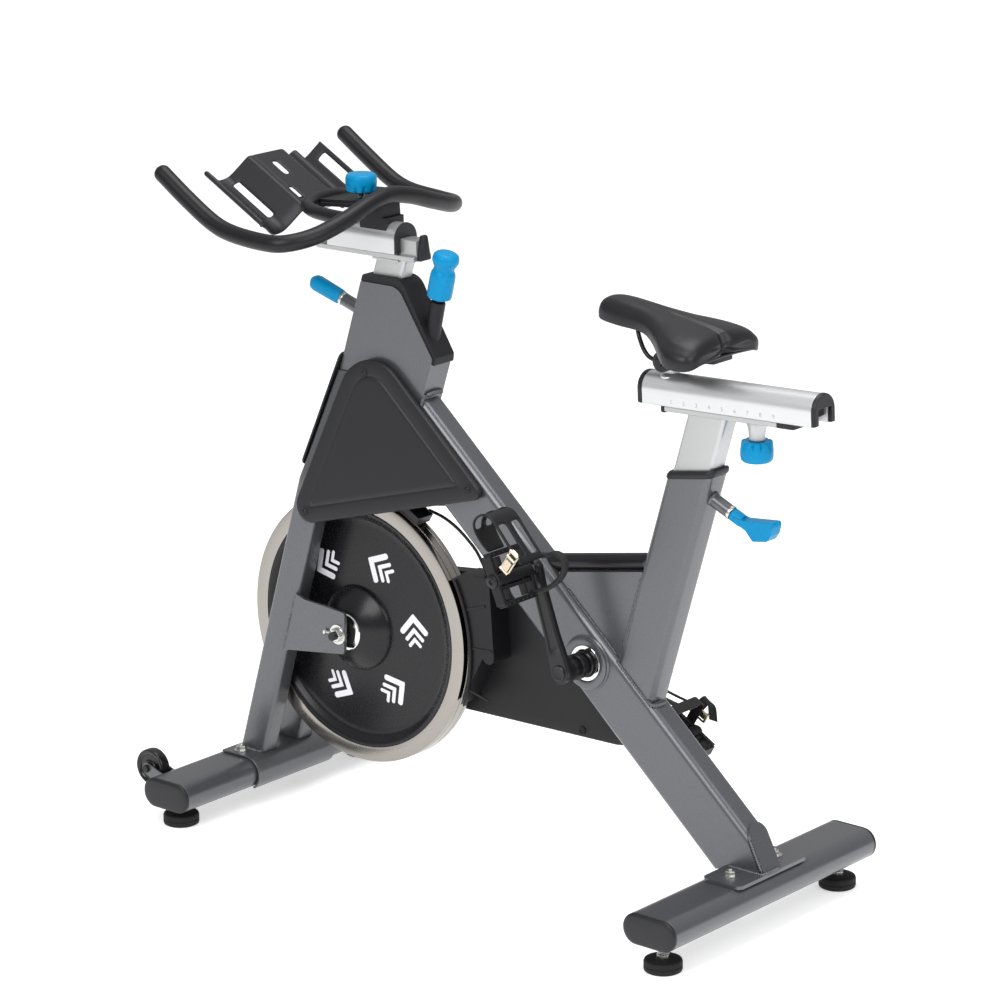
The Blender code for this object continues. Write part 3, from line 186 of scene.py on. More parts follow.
def piece(name, skins, material, body, stands_for=(), edge=0.0, angle=35, thick=0.0, levels=0):
    """Joins surfaces into one named object on a body: welds them, turns the faces out, rounds the edges."""
    starts = np.cumsum([0] + [len(v) for v, _ in skins])
    faces = [[i + s for i in f] for (_, fs), s in zip(skins, starts.tolist()) for f in fs]
    mesh = bpy.data.meshes.new(name)
    mesh.from_pydata(np.concatenate([v for v, _ in skins]), [], faces)
    bm = bmesh.new()
    bm.from_mesh(mesh)
    bmesh.ops.remove_doubles(bm, verts=bm.verts, dist=1e-6)
    bmesh.ops.recalc_face_normals(bm, faces=bm.faces)
    bm.to_mesh(mesh)
    bm.free()
    mesh.materials.append(material)
    mesh.shade_smooth()
    mesh.set_sharp_from_angle(angle=radians(angle))
    made = bpy.data.objects.new(name, mesh)
    scene.collection.objects.link(made)
    if thick:
        wall = made.modifiers.new("wall", "SOLIDIFY")
        wall.thickness, wall.offset = thick, 0.0
    if levels:
        fine = made.modifiers.new("fine", "SUBSURF")
        fine.levels = fine.render_levels = levels
    if edge:
        bevel = made.modifiers.new("edge", "BEVEL")
        bevel.width, bevel.segments, bevel.limit_method = edge, 3, "ANGLE"
        bevel.angle_limit, bevel.harden_normals = radians(40), True
    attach(made, body)
    if stands_for:
        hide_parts(*stands_for)
    return made


def around(ax, ay, ar, bx, by, br, steps=14):
    """Outline of a band stretched round two circles: each arc runs between the outer tangents."""
    gap, heading = np.hypot(bx - ax, by - ay), atan2(by - ay, bx - ax)
    lean = atan2((gap ** 2 - (ar - br) ** 2) ** 0.5, ar - br)
    a = np.linspace(heading + lean, heading + 2 * pi - lean, steps)
    b = np.linspace(heading - lean, heading + lean, steps)
    return np.vstack([np.c_[ax + ar * np.cos(a), ay + ar * np.sin(a)],
                      np.c_[bx + br * np.cos(b), by + br * np.sin(b)]])


FRONT, REAR = np.array([-0.510, 0, 0.057]), np.array([0.508, 0, 0.0705])
HANDS = (("left", -1), ("right", 1))
TUBE_WIDE, TUBE_HIGH, TUBE_LONG, TUBE_ROUND = 0.100, 0.050, 0.513, 0.0245
CASTOR_X, CASTOR_Y, CASTOR_Z = -0.594, 0.205, 0.075
oval = oblong(TUBE_WIDE, TUBE_HIGH, TUBE_ROUND, 12)
cheek = around(CASTOR_X, CASTOR_Z, 0.010, -0.556, 0.059, 0.012)
cheeks = [slab(cheek, 0.003, (sign * CASTOR_Y + side * 0.014) * Y) for _, sign in HANDS for side in (-1, 1)]
piece("front_cross_tube", [slab(oval, TUBE_LONG, FRONT)] + cheeks, grey_paint, "frame", ["front_stabiliser"], 0.0007)
piece("rear_cross_tube", [slab(oval, TUBE_LONG, REAR)], grey_paint, "frame", ["rear_stabiliser"], 0.0007)

# End caps: moulded black plugs with a rounded rim and a slightly domed face, pressed into the tubes.
# ABS with a spark-eroded mould grain, which leaves a soft, broken gloss.
black_abs = finish("moulded_black_abs", "black_plastic", "#1D1D22", "#18181C", 0.0012, (0.36, 0.48), 0.00002,
                   Specular_IOR_Level=0.35)
rim = [(0.0004, 0.0), (0.0, 0.0006), (0.0, 0.0034), (0.0006, 0.0050), (0.0022, 0.0061), (0.006, 0.0067),
       (0.016, 0.0072)]
for end, at in (("front", FRONT), ("rear", REAR)):
    for hand, sign in HANDS:
        mouth = at + sign * (TUBE_LONG / 2 + 0.0002) * Y
        rings = [mouth + sign * out * Y + oblong(TUBE_WIDE - 2 * d, TUBE_HIGH - 2 * d, TUBE_ROUND - d, 12)
                 @ np.array([X, Z]) for d, out in rim]
        piece(f"{end}_{hand}_plug", [skin(rings)], black_abs, "frame", [f"end_cap_{end}_{hand}"])

# Levelling feet: a ribbed rubber pad on a threaded steel stem, locked by a hexagon nut under the tube.
# The rubber is matt, with a faint bloom; the zinc-plated steel is bright.
black_rubber = finish("moulded_rubber", "black_rubber", "#1C1C1D", "#151516", 0.002, (0.62, 0.78), 0.00003,
                      Specular_IOR_Level=0.3)
bright_steel = finish("zinc_plated_steel", "polished_steel", "#D8D8D4", "#BDBDBA", 0.0015, (0.18, 0.3), 0.000006,
                      Metallic=1.0)


def turned(profile, at, axis, steps=64, closed=False):
    """A profile of (radius, height) points carried round an axis: p = at + r (cos a u + sin a v) + h axis."""
    axis = unit(axis)
    u = unit(np.cross(axis, Y if abs(axis[1]) < 0.9 else Z))
    v, a = np.cross(axis, u), np.linspace(0, 2 * pi, steps, endpoint=False)[None, :, None]
    r, h = np.asarray(profile, float).T[:, :, None, None]
    return skin(np.asarray(at, float) + r * (np.cos(a) * u + np.sin(a) * v) + h * axis, closed)


def hexagon(at, axis, r, low, high):
    """A hexagon nut or bolt head with a chamfered top: six-sided rings at heights along the axis."""
    return turned([(0, low), (r, low), (r, high - 0.12 * r), (0.86 * r, high), (0, high)], at, axis, 6)


def thread(even, odd, heights):
    """Profile of a screw thread: the radius swings between two values from one height to the next."""
    return np.c_[even + (odd - even) * (np.arange(len(heights)) % 2), heights]


FOOT_Y = 0.226
pad = [(0, 0), (0.027, 0), (0.0293, 0.0014), (0.030, 0.004), (0.030, 0.0082), (0.0290, 0.0090), (0.0290, 0.0102),
       (0.030, 0.0110), (0.030, 0.0150), (0.0288, 0.0180), (0.0250, 0.0198), (0.013, 0.0203), (0, 0.0203)]
for end, at in (("front", FRONT), ("rear", REAR)):
    for hand, sign in HANDS:
        spot, under, body = np.array([at[0], sign * FOOT_Y, 0]), at[2] - TUBE_HIGH / 2, f"foot_{end}_{hand}"
        piece(f"{end}_{hand}_pad", [turned(pad, spot, Z)], black_rubber, body, [f"levelling_foot_{end}_{hand}"])
        stem = thread(0.0056, 0.0061, np.arange(0.0190, under + 0.008, 0.00075))
        piece(f"{end}_{hand}_stem", [turned(stem, spot, Z, 32), hexagon(spot, Z, 0.0105, 0.0204, 0.0275)],
              bright_steel, body)
        piece(f"{end}_{hand}_nut", [hexagon(spot, -Z, 0.0100, -under + 0.0002, -under + 0.0042)], bright_steel, "frame")

# Transport wheels: moulded polyurethane wheels with a dished web, on a bolt between two cheeks.
# Polyurethane is smooth and glossy, so the web shows a clear highlight.
polyurethane = finish("black_polyurethane", "black_plastic", "#17171A", "#131315", 0.004, (0.16, 0.24), 0.00001,
                      Specular_IOR_Level=0.4)
black_paint = finish("satin_black_lacquer", "black_paint", "#16161A", "#121215", 0.0010, (0.28, 0.36), 0.000006,
                     Specular_IOR_Level=0.34)


def mirrored(profile):
    """A turned profile followed by its own mirror image, last point first."""
    profile = np.asarray(profile, float)
    return np.vstack([profile, profile[::-1] * (1, -1)])


def rod(r, low, high):
    """Profile of a plain round bar or washer between two heights."""
    return [(0, low), (r, low), (r, high), (0, high)]


web = [(0.0046, 0.0100), (0.0100, 0.0105), (0.0120, 0.0100), (0.0135, 0.0072), (0.0215, 0.0066),
       (0.0232, 0.0088), (0.0262, 0.0103), (0.0288, 0.0100), (0.0304, 0.0082), (0.0310, 0.0055)]
for hand, sign in HANDS:
    hub = np.array([CASTOR_X, sign * CASTOR_Y, CASTOR_Z])
    piece(f"{hand}_castor", [turned(mirrored(web), hub, Y, 64, True)], polyurethane, f"wheel_{hand}",
          [f"transport_wheel_{hand}"])
    heads = [hexagon(hub, side * Y, 0.0068, 0.0156, 0.0205) for side in (-1, 1)]
    piece(f"{hand}_castor_bolt", [turned(rod(0.004, -0.0165, 0.0165), hub, Y, 24)] + heads, black_paint, "frame")

# Front bracket: 4 mm plate folded over the top and back of the front tube, with two hexagon bolts and washers.
# Painted with the frame; the bolts are left bright.
def ribbon(path, thick):
    """Outline of a strip of even thickness: the path moved half the thickness to each side along its normal."""
    path = np.asarray(path, float)
    way = np.gradient(path, axis=0)
    off = np.c_[-way[:, 1], way[:, 0]] / np.linalg.norm(way, axis=1)[:, None] * thick / 2
    return np.vstack([path + off, (path - off)[::-1]])


BRACKET_TOP, BEND = 0.0845, 0.0275
bend = np.radians(np.linspace(90, -60, 26))
fold = np.vstack([[(FRONT[0] + x, BRACKET_TOP) for x in (-0.030, -0.010, 0.010)],
                  np.c_[FRONT[0] + 0.0265 + BEND * np.cos(bend), FRONT[2] + BEND * np.sin(bend)]])
piece("folded_bracket", [slab(ribbon(fold, 0.004), 0.188)], grey_paint, "frame", ["front_bracket"], 0.0012)


def bolt(at, axis=Z, r=0.0085):
    """A hexagon bolt head on its washer."""
    return [turned(rod(r * 1.45, 0, 0.0016), at, axis, 40), hexagon(at, axis, r, 0.0016, 0.0016 + 0.8 * r),
            turned([(0, 0), (0.45 * r, 0), (0.45 * r, 1.25 * r), (0.3 * r, 1.4 * r), (0, 1.4 * r)], at, axis, 20)]


piece("bracket_bolts", [s for y in (-0.076, 0.076) for s in bolt((FRONT[0] - 0.002, y, 0.0866))], bright_steel, "frame")

# Fork legs: bent steel tubes, 52 by 37 mm, whose outer face slopes in to the head, each with a welded axle plate.
# Weld beads are run by hand and painted over, so they show as a row of small ripples.
def bead(points, r=0.0028, pitch=0.004):
    """A weld bead: a round tube along a smooth path whose radius ripples, r (1 + 0.22 sin(2 pi s / pitch))."""
    path = smooth(points, 40)
    s = np.r_[0, np.cumsum(np.linalg.norm(np.diff(path, axis=0), axis=1))]
    size = r * (1 + 0.22 * np.sin(2 * pi * s / pitch)) * np.clip(np.minimum(s, s[-1] - s) / 0.003, 0.3, 1)
    return carried(disc(1.0, 10), path, size=size)


def smooth(points, steps):
    """Catmull-Rom curve: between b and c it is half of
    2b + (c - a) t + (2a - 5b + 4c - d) t^2 + (3b - a - 3c + d) t^3."""
    p = np.asarray(points, float)
    e = np.vstack([2 * p[0] - p[1], p, 2 * p[-1] - p[-2]])
    a, b, c, d = (e[k:len(e) - 3 + k, None] for k in range(4))
    t = np.linspace(0, 1, steps, endpoint=False)[None, :, None]
    out = (2 * b + (c - a) * t + (2 * a - 5 * b + 4 * c - d) * t ** 2 + (3 * b - a - 3 * c + d) * t ** 3) / 2
    return np.vstack([out.reshape(-1, p.shape[1]), p[-1:]])


def disc(r, steps=32):
    """Points round a circle."""
    a = np.linspace(0, 2 * pi, steps, endpoint=False)
    return np.c_[r * np.cos(a), r * np.sin(a)]


def carried(section, path, up=Z, size=None, closed=False):
    """A section of (across, up) points carried along a path: each ring stands square to the path's way,
    across = way x up, lift = across x way."""
    path = np.asarray(path, float)
    way = unit(np.roll(path, -1, 0) - np.roll(path, 1, 0) if closed else np.gradient(path, axis=0))
    across = np.cross(way, up)
    bad = np.linalg.norm(across, axis=1) < 1e-3
    across[bad] = np.cross(way[bad], Y)
    across = unit(across)
    lift = np.cross(across, way)
    k = 1.0 if size is None else np.asarray(size)[:, None, None]
    s = np.asarray(section, float)[None]
    return skin(path[:, None] + k * (s[:, :, 0:1] * across[:, None] + s[:, :, 1:2] * lift[:, None]), closed)


LEG_IN, LEG_OUT, LEG_SLOPE, LEAN = 0.0255, 0.0625, 0.2953, radians(17.5)
LEG_DEEP, LEG_FOOT, KNEE, LEG_TOP, LEG_TOP_X = 0.052, 0.0868, 0.585, 0.770, -0.3179
leg_run = LEG_DEEP / cos(atan2(LEG_SLOPE, 1))


def leg_front(z):
    """X of a leg's front edge, on its straight part."""
    return -0.4973 + (z - 0.1925) * LEG_SLOPE


levels = np.array([LEG_FOOT, 0.540, 0.570, KNEE, 0.600, 0.630, LEG_TOP])
fronts = np.interp(levels, [LEG_FOOT, KNEE, LEG_TOP], [leg_front(LEG_FOOT), leg_front(KNEE), LEG_TOP_X])
outs = np.interp(levels, [0, KNEE, LEG_TOP], [LEG_OUT, LEG_OUT, LEG_IN + 0.003])
plate_outline = rounded([(-0.3885, 0.3850), (-0.368, 0.3785), (-0.279, 0.372), (-0.281, 0.301), (-0.405, 0.284),
                         (-0.4190, 0.2790)], [0.001, 0.010, 0.006, 0.006, 0.010, 0.001])
plate_weld = np.array([(-0.3880, 0.0655, 0.3835), (-0.4020, 0.0655, 0.335), (-0.4180, 0.0655, 0.281)])
foot_weld = np.array([(-0.525, 0.063, 0.0872), (-0.500, 0.0645, 0.0872), (-0.482, 0.063, 0.0872),
                      (-0.479, 0.045, 0.0872)])
for hand, sign in HANDS:
    rings = [np.c_[s[:, 0] + x + leg_run / 2, sign * (s[:, 1] + (LEG_IN + out) / 2), np.full(len(s), z)]
             for x, z, out in zip(fronts, levels, outs)
             for s in [oblong(leg_run, out - LEG_IN, min(0.0075, 0.45 * (out - LEG_IN)))]]
    piece(f"{hand}_leg", [skin(rings), slab(plate_outline, 0.006, (0, sign * 0.064, 0)),
                          bead(plate_weld * (1, sign, 1), 0.0024), bead(foot_weld * (1, sign, 1), 0.0030)],
          grey_paint, "frame", [f"fork_leg_{hand}"], 0.0008)

# Head: a boxed neck of welded plate with ground, rounded edges, 50 mm wide, that takes the handlebar post.
# Its front carries the barrel of the locking pin, turned from bar and welded on.
NECK = np.array([sin(LEAN), 0, cos(LEAN)])


NECK_TOP, NECK_LOW, BEAM_JOINT = 0.924, 0.640, 0.753


def head_front(z):
    """X of the neck's front face at a height."""
    return -0.307 + (z - 0.8046) * tan(LEAN)


def head_back(z):
    """X of the neck's lower back face at a height."""
    return -0.139 + (z - BEAM_JOINT) * tan(LEAN)


brow, chin = np.array([-0.190, 0.9245]), np.array([-0.1186, 0.816])
neck_side = rounded([(head_front(NECK_TOP), NECK_TOP), brow, chin, (head_back(BEAM_JOINT), BEAM_JOINT),
                     (head_back(0.646), 0.646), (-0.235, NECK_LOW), (head_front(NECK_LOW), NECK_LOW)],
                    [0.002, 0.030, 0.006, 0.002, 0.002, 0.002, 0.002])
piece("boxed_neck", [slab(neck_side, 0.050)], grey_paint, "frame", ["head_shell"], 0.005)
PIN = np.array([head_front(0.868), 0, 0.868])
PULL = np.array([-cos(LEAN), 0, sin(LEAN)])
barrel = [(0.0066, 0.032), (0.0066, 0.0), (0.0112, -0.004), (0.0135, 0.0005), (0.0112, 0.003), (0.0108, 0.0265),
          (0.0104, 0.032)]
collar = [(0.0068, 0.0262), (0.0112, 0.0262), (0.0115, 0.0270), (0.0115, 0.0312), (0.0110, 0.0320), (0.0068, 0.0320)]


def pin_housing(name, at, way, more):
    """A locking pin's barrel and bright collar: turned profiles whose outer ends stand out further by more."""
    for part, profile, material in (("barrel", barrel, grey_paint), ("collar", collar, bright_steel)):
        r, h = np.array(profile).T
        piece(f"{name}_pin_{part}", [turned(np.c_[r, h + more * (h > 0.02)], at, way, 40, True)], material, "frame")


pin_housing("bar", PIN, PULL, 0.0155)

# Main beam: one straight rectangular tube, 100 by 50 mm with 14 mm corners, from the head down to the rear foot.
# It is mitred to the neck above, and to the foot plate and its fin below.
SLOPE = radians(41.8)
DOWN, ABOVE = np.array([cos(SLOPE), 0, -sin(SLOPE)]), np.array([sin(SLOPE), 0, cos(SLOPE)])
NECK_OUT = np.array([cos(LEAN), 0, -sin(LEAN)])
FOOT_TOP = 0.1015
FIN = np.array([0.543, 0, FOOT_TOP])
FIN_OUT = np.array([cos(radians(27)), 0, sin(radians(27))])


def drawn(section, way, first, *lasts):
    """A section of points drawn along a way from one plane to the nearest of several ends: t = (p - s).n / way.n.
    An end of two planes is the further of them."""
    def reach(p, n):
        return ((np.asarray(p) - section) @ n) / (way @ n)
    start, end = reach(*first), np.min([np.max([reach(*p) for p in last], axis=0) for last in lasts], axis=0)
    return skin([section + way * t[:, None] for t in (start, end)])


def dense(outline, gap):
    """The outline with points added along its sides, so that none lie further apart than a gap."""
    p = np.asarray(outline, float)
    side = np.roll(p, -1, 0) - p
    n = np.ceil(np.linalg.norm(side, axis=1) / gap).astype(int)
    k = np.repeat(np.arange(len(p)), n)
    step = np.arange(n.sum()) - np.repeat(np.cumsum(n) - n, n)
    return p[k] + side[k] * (step / n[k])[:, None]


beam_section = ABOVE * 0.412 + dense(oblong(0.050, 0.100, 0.014, 8), 0.0015) @ np.array([Y, ABOVE])
CHIN = np.array([-sin(radians(31)), 0, cos(radians(31))])
beam = drawn(beam_section, DOWN, ((head_back(BEAM_JOINT), 0, BEAM_JOINT), NECK_OUT),
             [((0, 0, FOOT_TOP), Z), ((0.4735, 0, FOOT_TOP), CHIN)], [(FIN - FIN_OUT * 0.003, FIN_OUT)])
CREST = ABOVE * 0.462
piece("main_tube", [beam, bead([(-0.1365, -0.020, 0.7540), (-0.1350, 0, 0.7560), (-0.1365, 0.020, 0.7540)], 0.0035),
                    bead([(-0.138, -0.0252, 0.751), (-0.156, -0.0252, 0.700), (-0.171, -0.0252, 0.650)], 0.0028)],
      grey_paint, "frame", ["main_beam"])

# Rear foot: a 6 mm plate bolted on the rear tube, with an upright fin that closes the beam's end.
# The fin's top is a half circle; two bolts with washers stand beside the beam.
fin_arc = np.radians(np.linspace(0, 180, 20))
fin_outline = np.vstack([[(0.022, -0.004)], np.c_[0.022 * np.cos(fin_arc), 0.057 + 0.022 * np.sin(fin_arc)],
                         [(-0.022, -0.004)]])
fin_up = np.cross(FIN_OUT, Y)
piece("rear_foot", [slab(oblong(0.074, 0.180, 0.012), 0.0057, (0.512, 0, FOOT_TOP - 0.00285), X, Y),
                    slab(fin_outline, 0.006, FIN, Y, fin_up),
                    bead([(0.478, -0.0262, FOOT_TOP), (0.505, -0.0266, FOOT_TOP), (0.540, -0.0262, FOOT_TOP),
                          (0.5465, -0.018, FOOT_TOP), (0.547, 0.018, FOOT_TOP)], 0.0030),
                    bead([(0.5425, -0.0235, 0.1035), (0.530, -0.0238, 0.128), (0.518, -0.0235, 0.152)], 0.0024)],
      grey_paint, "frame", ["rear_foot_plate"], 0.0010)
piece("foot_bolts", [s for y in (-0.057, 0.057) for s in bolt((0.507, y, FOOT_TOP))], bright_steel, "frame")

# Seat tube, its gusset and the cross bar: a rectangular tube welded on the beam, a boxed gusset between the two,
# and a round black bar over the gusset. The seams are welded and dressed.
SEAT_LEAN = radians(16.6)
SEAT_UP, SEAT_BACK = np.array([sin(SEAT_LEAN), 0, cos(SEAT_LEAN)]), np.array([cos(SEAT_LEAN), 0, -sin(SEAT_LEAN)])


def seat_at(z):
    """The point of the seat tube's middle line at a height."""
    return np.array([(0.175 + sin(SEAT_LEAN) * z) / cos(SEAT_LEAN), 0, z])


seat_section = seat_at(0.5) + oblong(0.050, 0.080, 0.012, 8) @ np.array([Y, SEAT_BACK])
MOUTH, RISE = seat_at(0.7085), np.array([-sin(radians(9.4)), 0, cos(radians(9.4))])
seat_tube = drawn(seat_section, SEAT_UP, (CREST, ABOVE), [(MOUTH, RISE)])
LATCH = seat_at(0.688) + SEAT_BACK * 0.040
SEAT_PULL = np.array([cos(radians(23.9)), 0, -sin(radians(23.9))])
front_foot, rear_foot = np.array([0.2573, 0, 0.3904]), np.array([0.3273, 0, 0.3276])
seams = [bead([rear_foot + (-0.012, -0.0250, 0.0105), rear_foot + (-0.003, -0.022, 0.0030),
               rear_foot + (0.0012, -0.010, 0), rear_foot + (0.0012, 0.010, 0)], 0.0032),
         bead([front_foot + (0, -0.0250, 0), (front_foot + rear_foot) / 2 - 0.0254 * Y,
               rear_foot + (-0.010, -0.0252, 0.009)], 0.0026)]
piece("seat_mast", [seat_tube] + seams, grey_paint, "frame", ["seat_tube"], 0.0006)
pin_housing("seat", LATCH, SEAT_PULL, 0.008)


def bar_under(x):
    """Height of the cross bar's underside."""
    return 0.527 + (x - 0.154) * 0.1885 - 0.0137 - 0.0003


def beam_top(x):
    """Height of the beam's upper face."""
    return (0.4623 - ABOVE[0] * x) / ABOVE[2]


def mast_face(z):
    """X of the seat tube's front face."""
    return seat_at(z)[0] - 0.040 / cos(SEAT_LEAN) - 0.0003


web_side = [(0.1335, beam_top(0.1335)), (mast_face(0.3912) - 0.0004, beam_top(mast_face(0.3912)) + 0.0006),
            (mast_face(0.538), 0.538), (mast_face(0.5385) - 0.002, bar_under(mast_face(0.5385) - 0.002)),
            (0.1335, bar_under(0.1335))]
piece("gusset_box", [slab(web_side, 0.030),
                     bead([(0.150, -0.0155, beam_top(0.150)), (0.200, -0.0155, beam_top(0.200)),
                           (0.250, -0.0155, beam_top(0.250))], 0.0022),
                     bead([(mast_face(0.41), -0.0155, 0.41), (mast_face(0.47), -0.0155, 0.47),
                           (mast_face(0.53), -0.0155, 0.53)], 0.0022)],
      grey_paint, "frame", ["gusset_plate"])
BAR_WAY = unit([0.130, 0, 0.0245])
round_bar = np.array([0.154, 0, 0.527]) + disc(0.0135, 40) @ np.array([Y, np.cross(BAR_WAY, Y)])
piece("round_cross_bar", [drawn(round_bar, BAR_WAY, (CREST, ABOVE), [(seat_at(0.6) - SEAT_BACK * 0.0403, SEAT_BACK)])],
      black_paint, "frame", ["cross_bar"])
fillet = [(0.0132, 0.004), (0.0138, 0.004), (0.0150, 0.0015), (0.0165, -0.0002), (0.0132, -0.0002)]
piece("cross_bar_weld", [turned(fillet, (mast_face(0.553), 0, 0.553), -SEAT_BACK, 48, True)], grey_paint, "frame")

# Seat collar: a soft plastic sleeve pressed over the tube's mouth, with a lip that stands out all round.
# Its wall is a ring of constant section carried round the tube's outline.
lip = [(0.0362, 0.0003, 0.0188), (0.0395, 0.0003, 0.0246), (0.0410, 0.0006, 0.0262), (0.0418, 0.0024, 0.0272),
       (0.0418, 0.0072, 0.0272), (0.0408, 0.0100, 0.0262), (0.0388, 0.0116, 0.0232), (0.0362, 0.0112, 0.0196)]
rings = []
for d, h, w in lip:
    flat = MOUTH + oblong(2 * w, 2 * d, 0.013 if d > 0.039 else 0.007, 8) @ np.array([Y, SEAT_BACK])
    rings.append(flat + SEAT_UP * (((MOUTH + RISE * h - flat) @ RISE) / (SEAT_UP @ RISE))[:, None])
piece("mast_collar", [skin(rings, True)], black_abs, "frame", ["seat_collar"])

# Bottom bracket: a steel shell through the beam with a turned lip, and a bearing in each end.
# The bearing's chromed face and dark seal show as bright and black rings round the spindle.
chrome = finish("chromed_steel", "polished_steel", "#E6E6E4", "#D6D6D4", 0.01, (0.07, 0.12), 0.0, Metallic=1.0)
CRANK = np.array([0.198, 0, 0.375])
shell = [(0.0300, 0.0310), (0.0320, 0.0318), (0.0395, 0.0318), (0.0420, 0.0305), (0.0424, 0.0280), (0.0424, -0.0272),
         (0.0300, -0.0272)]
fillet = [(0.0425, 0.0250), (0.0440, 0.0249), (0.0452, 0.0256), (0.0440, 0.0272), (0.0425, 0.0280)]
race = [(0.0225, 0), (0.0232, 0.0008), (0.0285, 0.0008), (0.0298, -0.0004), (0.0298, -0.012), (0.0225, -0.012)]
seal = [(0.0104, -0.0006), (0.0130, 0.0002), (0.0180, -0.0008), (0.0222, 0.0), (0.0222, -0.012), (0.0104, -0.012)]
piece("bracket_tube", [turned(shell, CRANK, -Y, 72, True)], grey_paint, "frame", ["bracket_shell"])
piece("bracket_weld", [turned(fillet, CRANK, -Y, 72, True)], grey_paint, "frame")
for hand, sign, out in (("left", -1, 0.0300), ("right", 1, 0.0265)):
    face = CRANK + sign * out * Y
    piece(f"{hand}_bearing_race", [turned(race, face, sign * Y, 72, True)], chrome, "frame", [f"crank_bearing_{hand}"])
    piece(f"{hand}_bearing_seal", [turned(seal, face, sign * Y, 72, True)], black_rubber, "frame")

# Crank set: a forged spindle end, a drive pulley inside the guard, and two forged arms with a fluted face.
# Satin black lacquer over forged aluminium; each arm carries a steel pedal axle.
spindle = [(0, 0.0714), (0.0165, 0.0714), (0.0175, 0.0700), (0.0175, 0.0640), (0.0150, 0.0630), (0.0150, 0.0585),
           (0.0200, 0.0575), (0.0208, 0.0560), (0.0208, 0.0470), (0.0160, 0.0455), (0.0160, 0.0395), (0.0205, 0.0385),
           (0.0205, 0.0340), (0.0098, 0.0336)]
spindle += [(0.0098, -0.0545), (0.0208, -0.0545), (0.0208, -0.0700), (0, -0.0714)]
piece("stepped_spindle", [turned(spindle, CRANK, -Y, 56)], black_paint, "crankset", ["crank_spindle"])
groove = [(0.0099, -0.009), (0.020, -0.009), (0.020, -0.005), (0.073, -0.0055), (0.0755, -0.008), (0.0755, -0.0072),
          (0.0738, -0.0068), (0.0738, 0.0068), (0.0755, 0.0072), (0.0755, 0.008), (0.073, 0.0055), (0.020, 0.005),
          (0.020, 0.009), (0.0099, 0.009)]
piece("belt_pulley", [turned(groove, CRANK + 0.0425 * Y, Y, 64, True)], black_abs, "crankset",
      ["drive_pulley"])
CRANK_LONG, ARM_OUT, PEDAL_OUT = 0.170, 0.088, 0.1465
REACH = np.array([-sin(radians(18.5)), 0, cos(radians(18.5))])
PEDALS = {hand: CRANK - sign * (CRANK_LONG * REACH - PEDAL_OUT * Y) for hand, sign in HANDS}
EYE, HEEL, FLUTE = 0.014, 0.0195, 2
t = np.linspace(-HEEL, CRANK_LONG + EYE, 60)
half = np.where(t < 0, np.sqrt(np.clip(HEEL ** 2 - t ** 2, 0, None)), np.interp(t, [0, CRANK_LONG], [HEEL, 0.0135]))
half = np.where(t > CRANK_LONG, np.sqrt(np.clip(EYE ** 2 - (t - CRANK_LONG) ** 2, 0, None)), half)
half = np.minimum(half, np.interp(t, [0, 0.024, 0.06, 0.14, 0.165, 0.19], [1, 0.0180, 0.0140, 0.0122, 0.0138, 1]))
half = np.maximum(half, 0.0006)
face = np.interp(t, [0, 0.03, 0.13, CRANK_LONG], [0.0070, 0.0064, 0.0062, 0.0068])
flute = 0.0022 * np.clip(np.minimum((t - 0.028) / 0.012, (0.145 - t) / 0.012), 0, 1)
# across and out of the arm's section; out of FLUTE marks the floor of the flute
s = np.array([(-1, -0.55), (-0.86, -1), (0.86, -1), (1, -0.55), (1, 0.45), (0.80, 1), (0.55, 1), (0.42, FLUTE),
              (-0.42, FLUTE), (-0.55, 1), (-0.80, 1), (-1, 0.45)])
out = np.where(s[None, :, 1] == FLUTE, face[:, None] - flute[:, None], s[None, :, 1] * face[:, None])
boss = [(0, -0.0163), (0.0175, -0.0163), (0.0193, -0.0145), (0.0193, -0.0050), (0, -0.0050)]
cover = [(0, 0.0060), (0.0125, 0.0060), (0.0125, 0.0082), (0.0110, 0.0094), (0.0085, 0.0088), (0, 0.0088)]
eye = [(0, -0.0078), (0.0115, -0.0078), (0.0122, -0.0070), (0.0122, 0.0075), (0.0112, 0.0083), (0, 0.0083)]
axle = [(0, -0.052), (0.0085, -0.052), (0.0085, -0.046), (0.0062, -0.0445), (0.0062, 0.0385), (0, 0.0385)]
for hand, sign in HANDS:
    way, mid, tip = -sign * REACH, CRANK + sign * ARM_OUT * Y, PEDALS[hand]
    rings = (mid + t[:, None, None] * way + (half[:, None] * s[None, :, 0])[:, :, None] * np.cross(way, Y)
             + out[:, :, None] * sign * Y)
    piece(f"{hand}_crank_arm", [skin(rings), turned(boss, mid, sign * Y, 48), turned(cover, mid, sign * Y, 48),
                                turned(eye, tip * (1, 0, 1) + sign * ARM_OUT * Y, sign * Y, 40)],
          black_paint, "crankset", [f"crank_{hand}"])
    piece(f"{hand}_pedal_axle", [turned(axle, tip, sign * Y, 32)], bright_steel, "crankset")

# Pedals: moulded nylon platforms with a toothed frame, a barrel on the axle, and end caps over the bearings.
# Glass-filled nylon is a little duller and coarser than the covers.
# The same darker nylon also dresses the belt guard, where its darkness is painted shade.
nylon = finish("glass_filled_nylon_and_guard_shade", "black_plastic", "#131316", "#0F0F12", 0.0008, (0.40, 0.55), 0.00003,
               Specular_IOR_Level=0.3)


def bar(size, at, x, y, z):
    """A block with its sides along three directions, as two square rings."""
    u, v, w = np.array(size) / 2
    square = np.array([(u, -v), (u, v), (-u, v), (-u, -v)])
    return skin([np.asarray(at) + square @ np.array([x, y]) + h * w * np.asarray(z) for h in (-1, 1)])


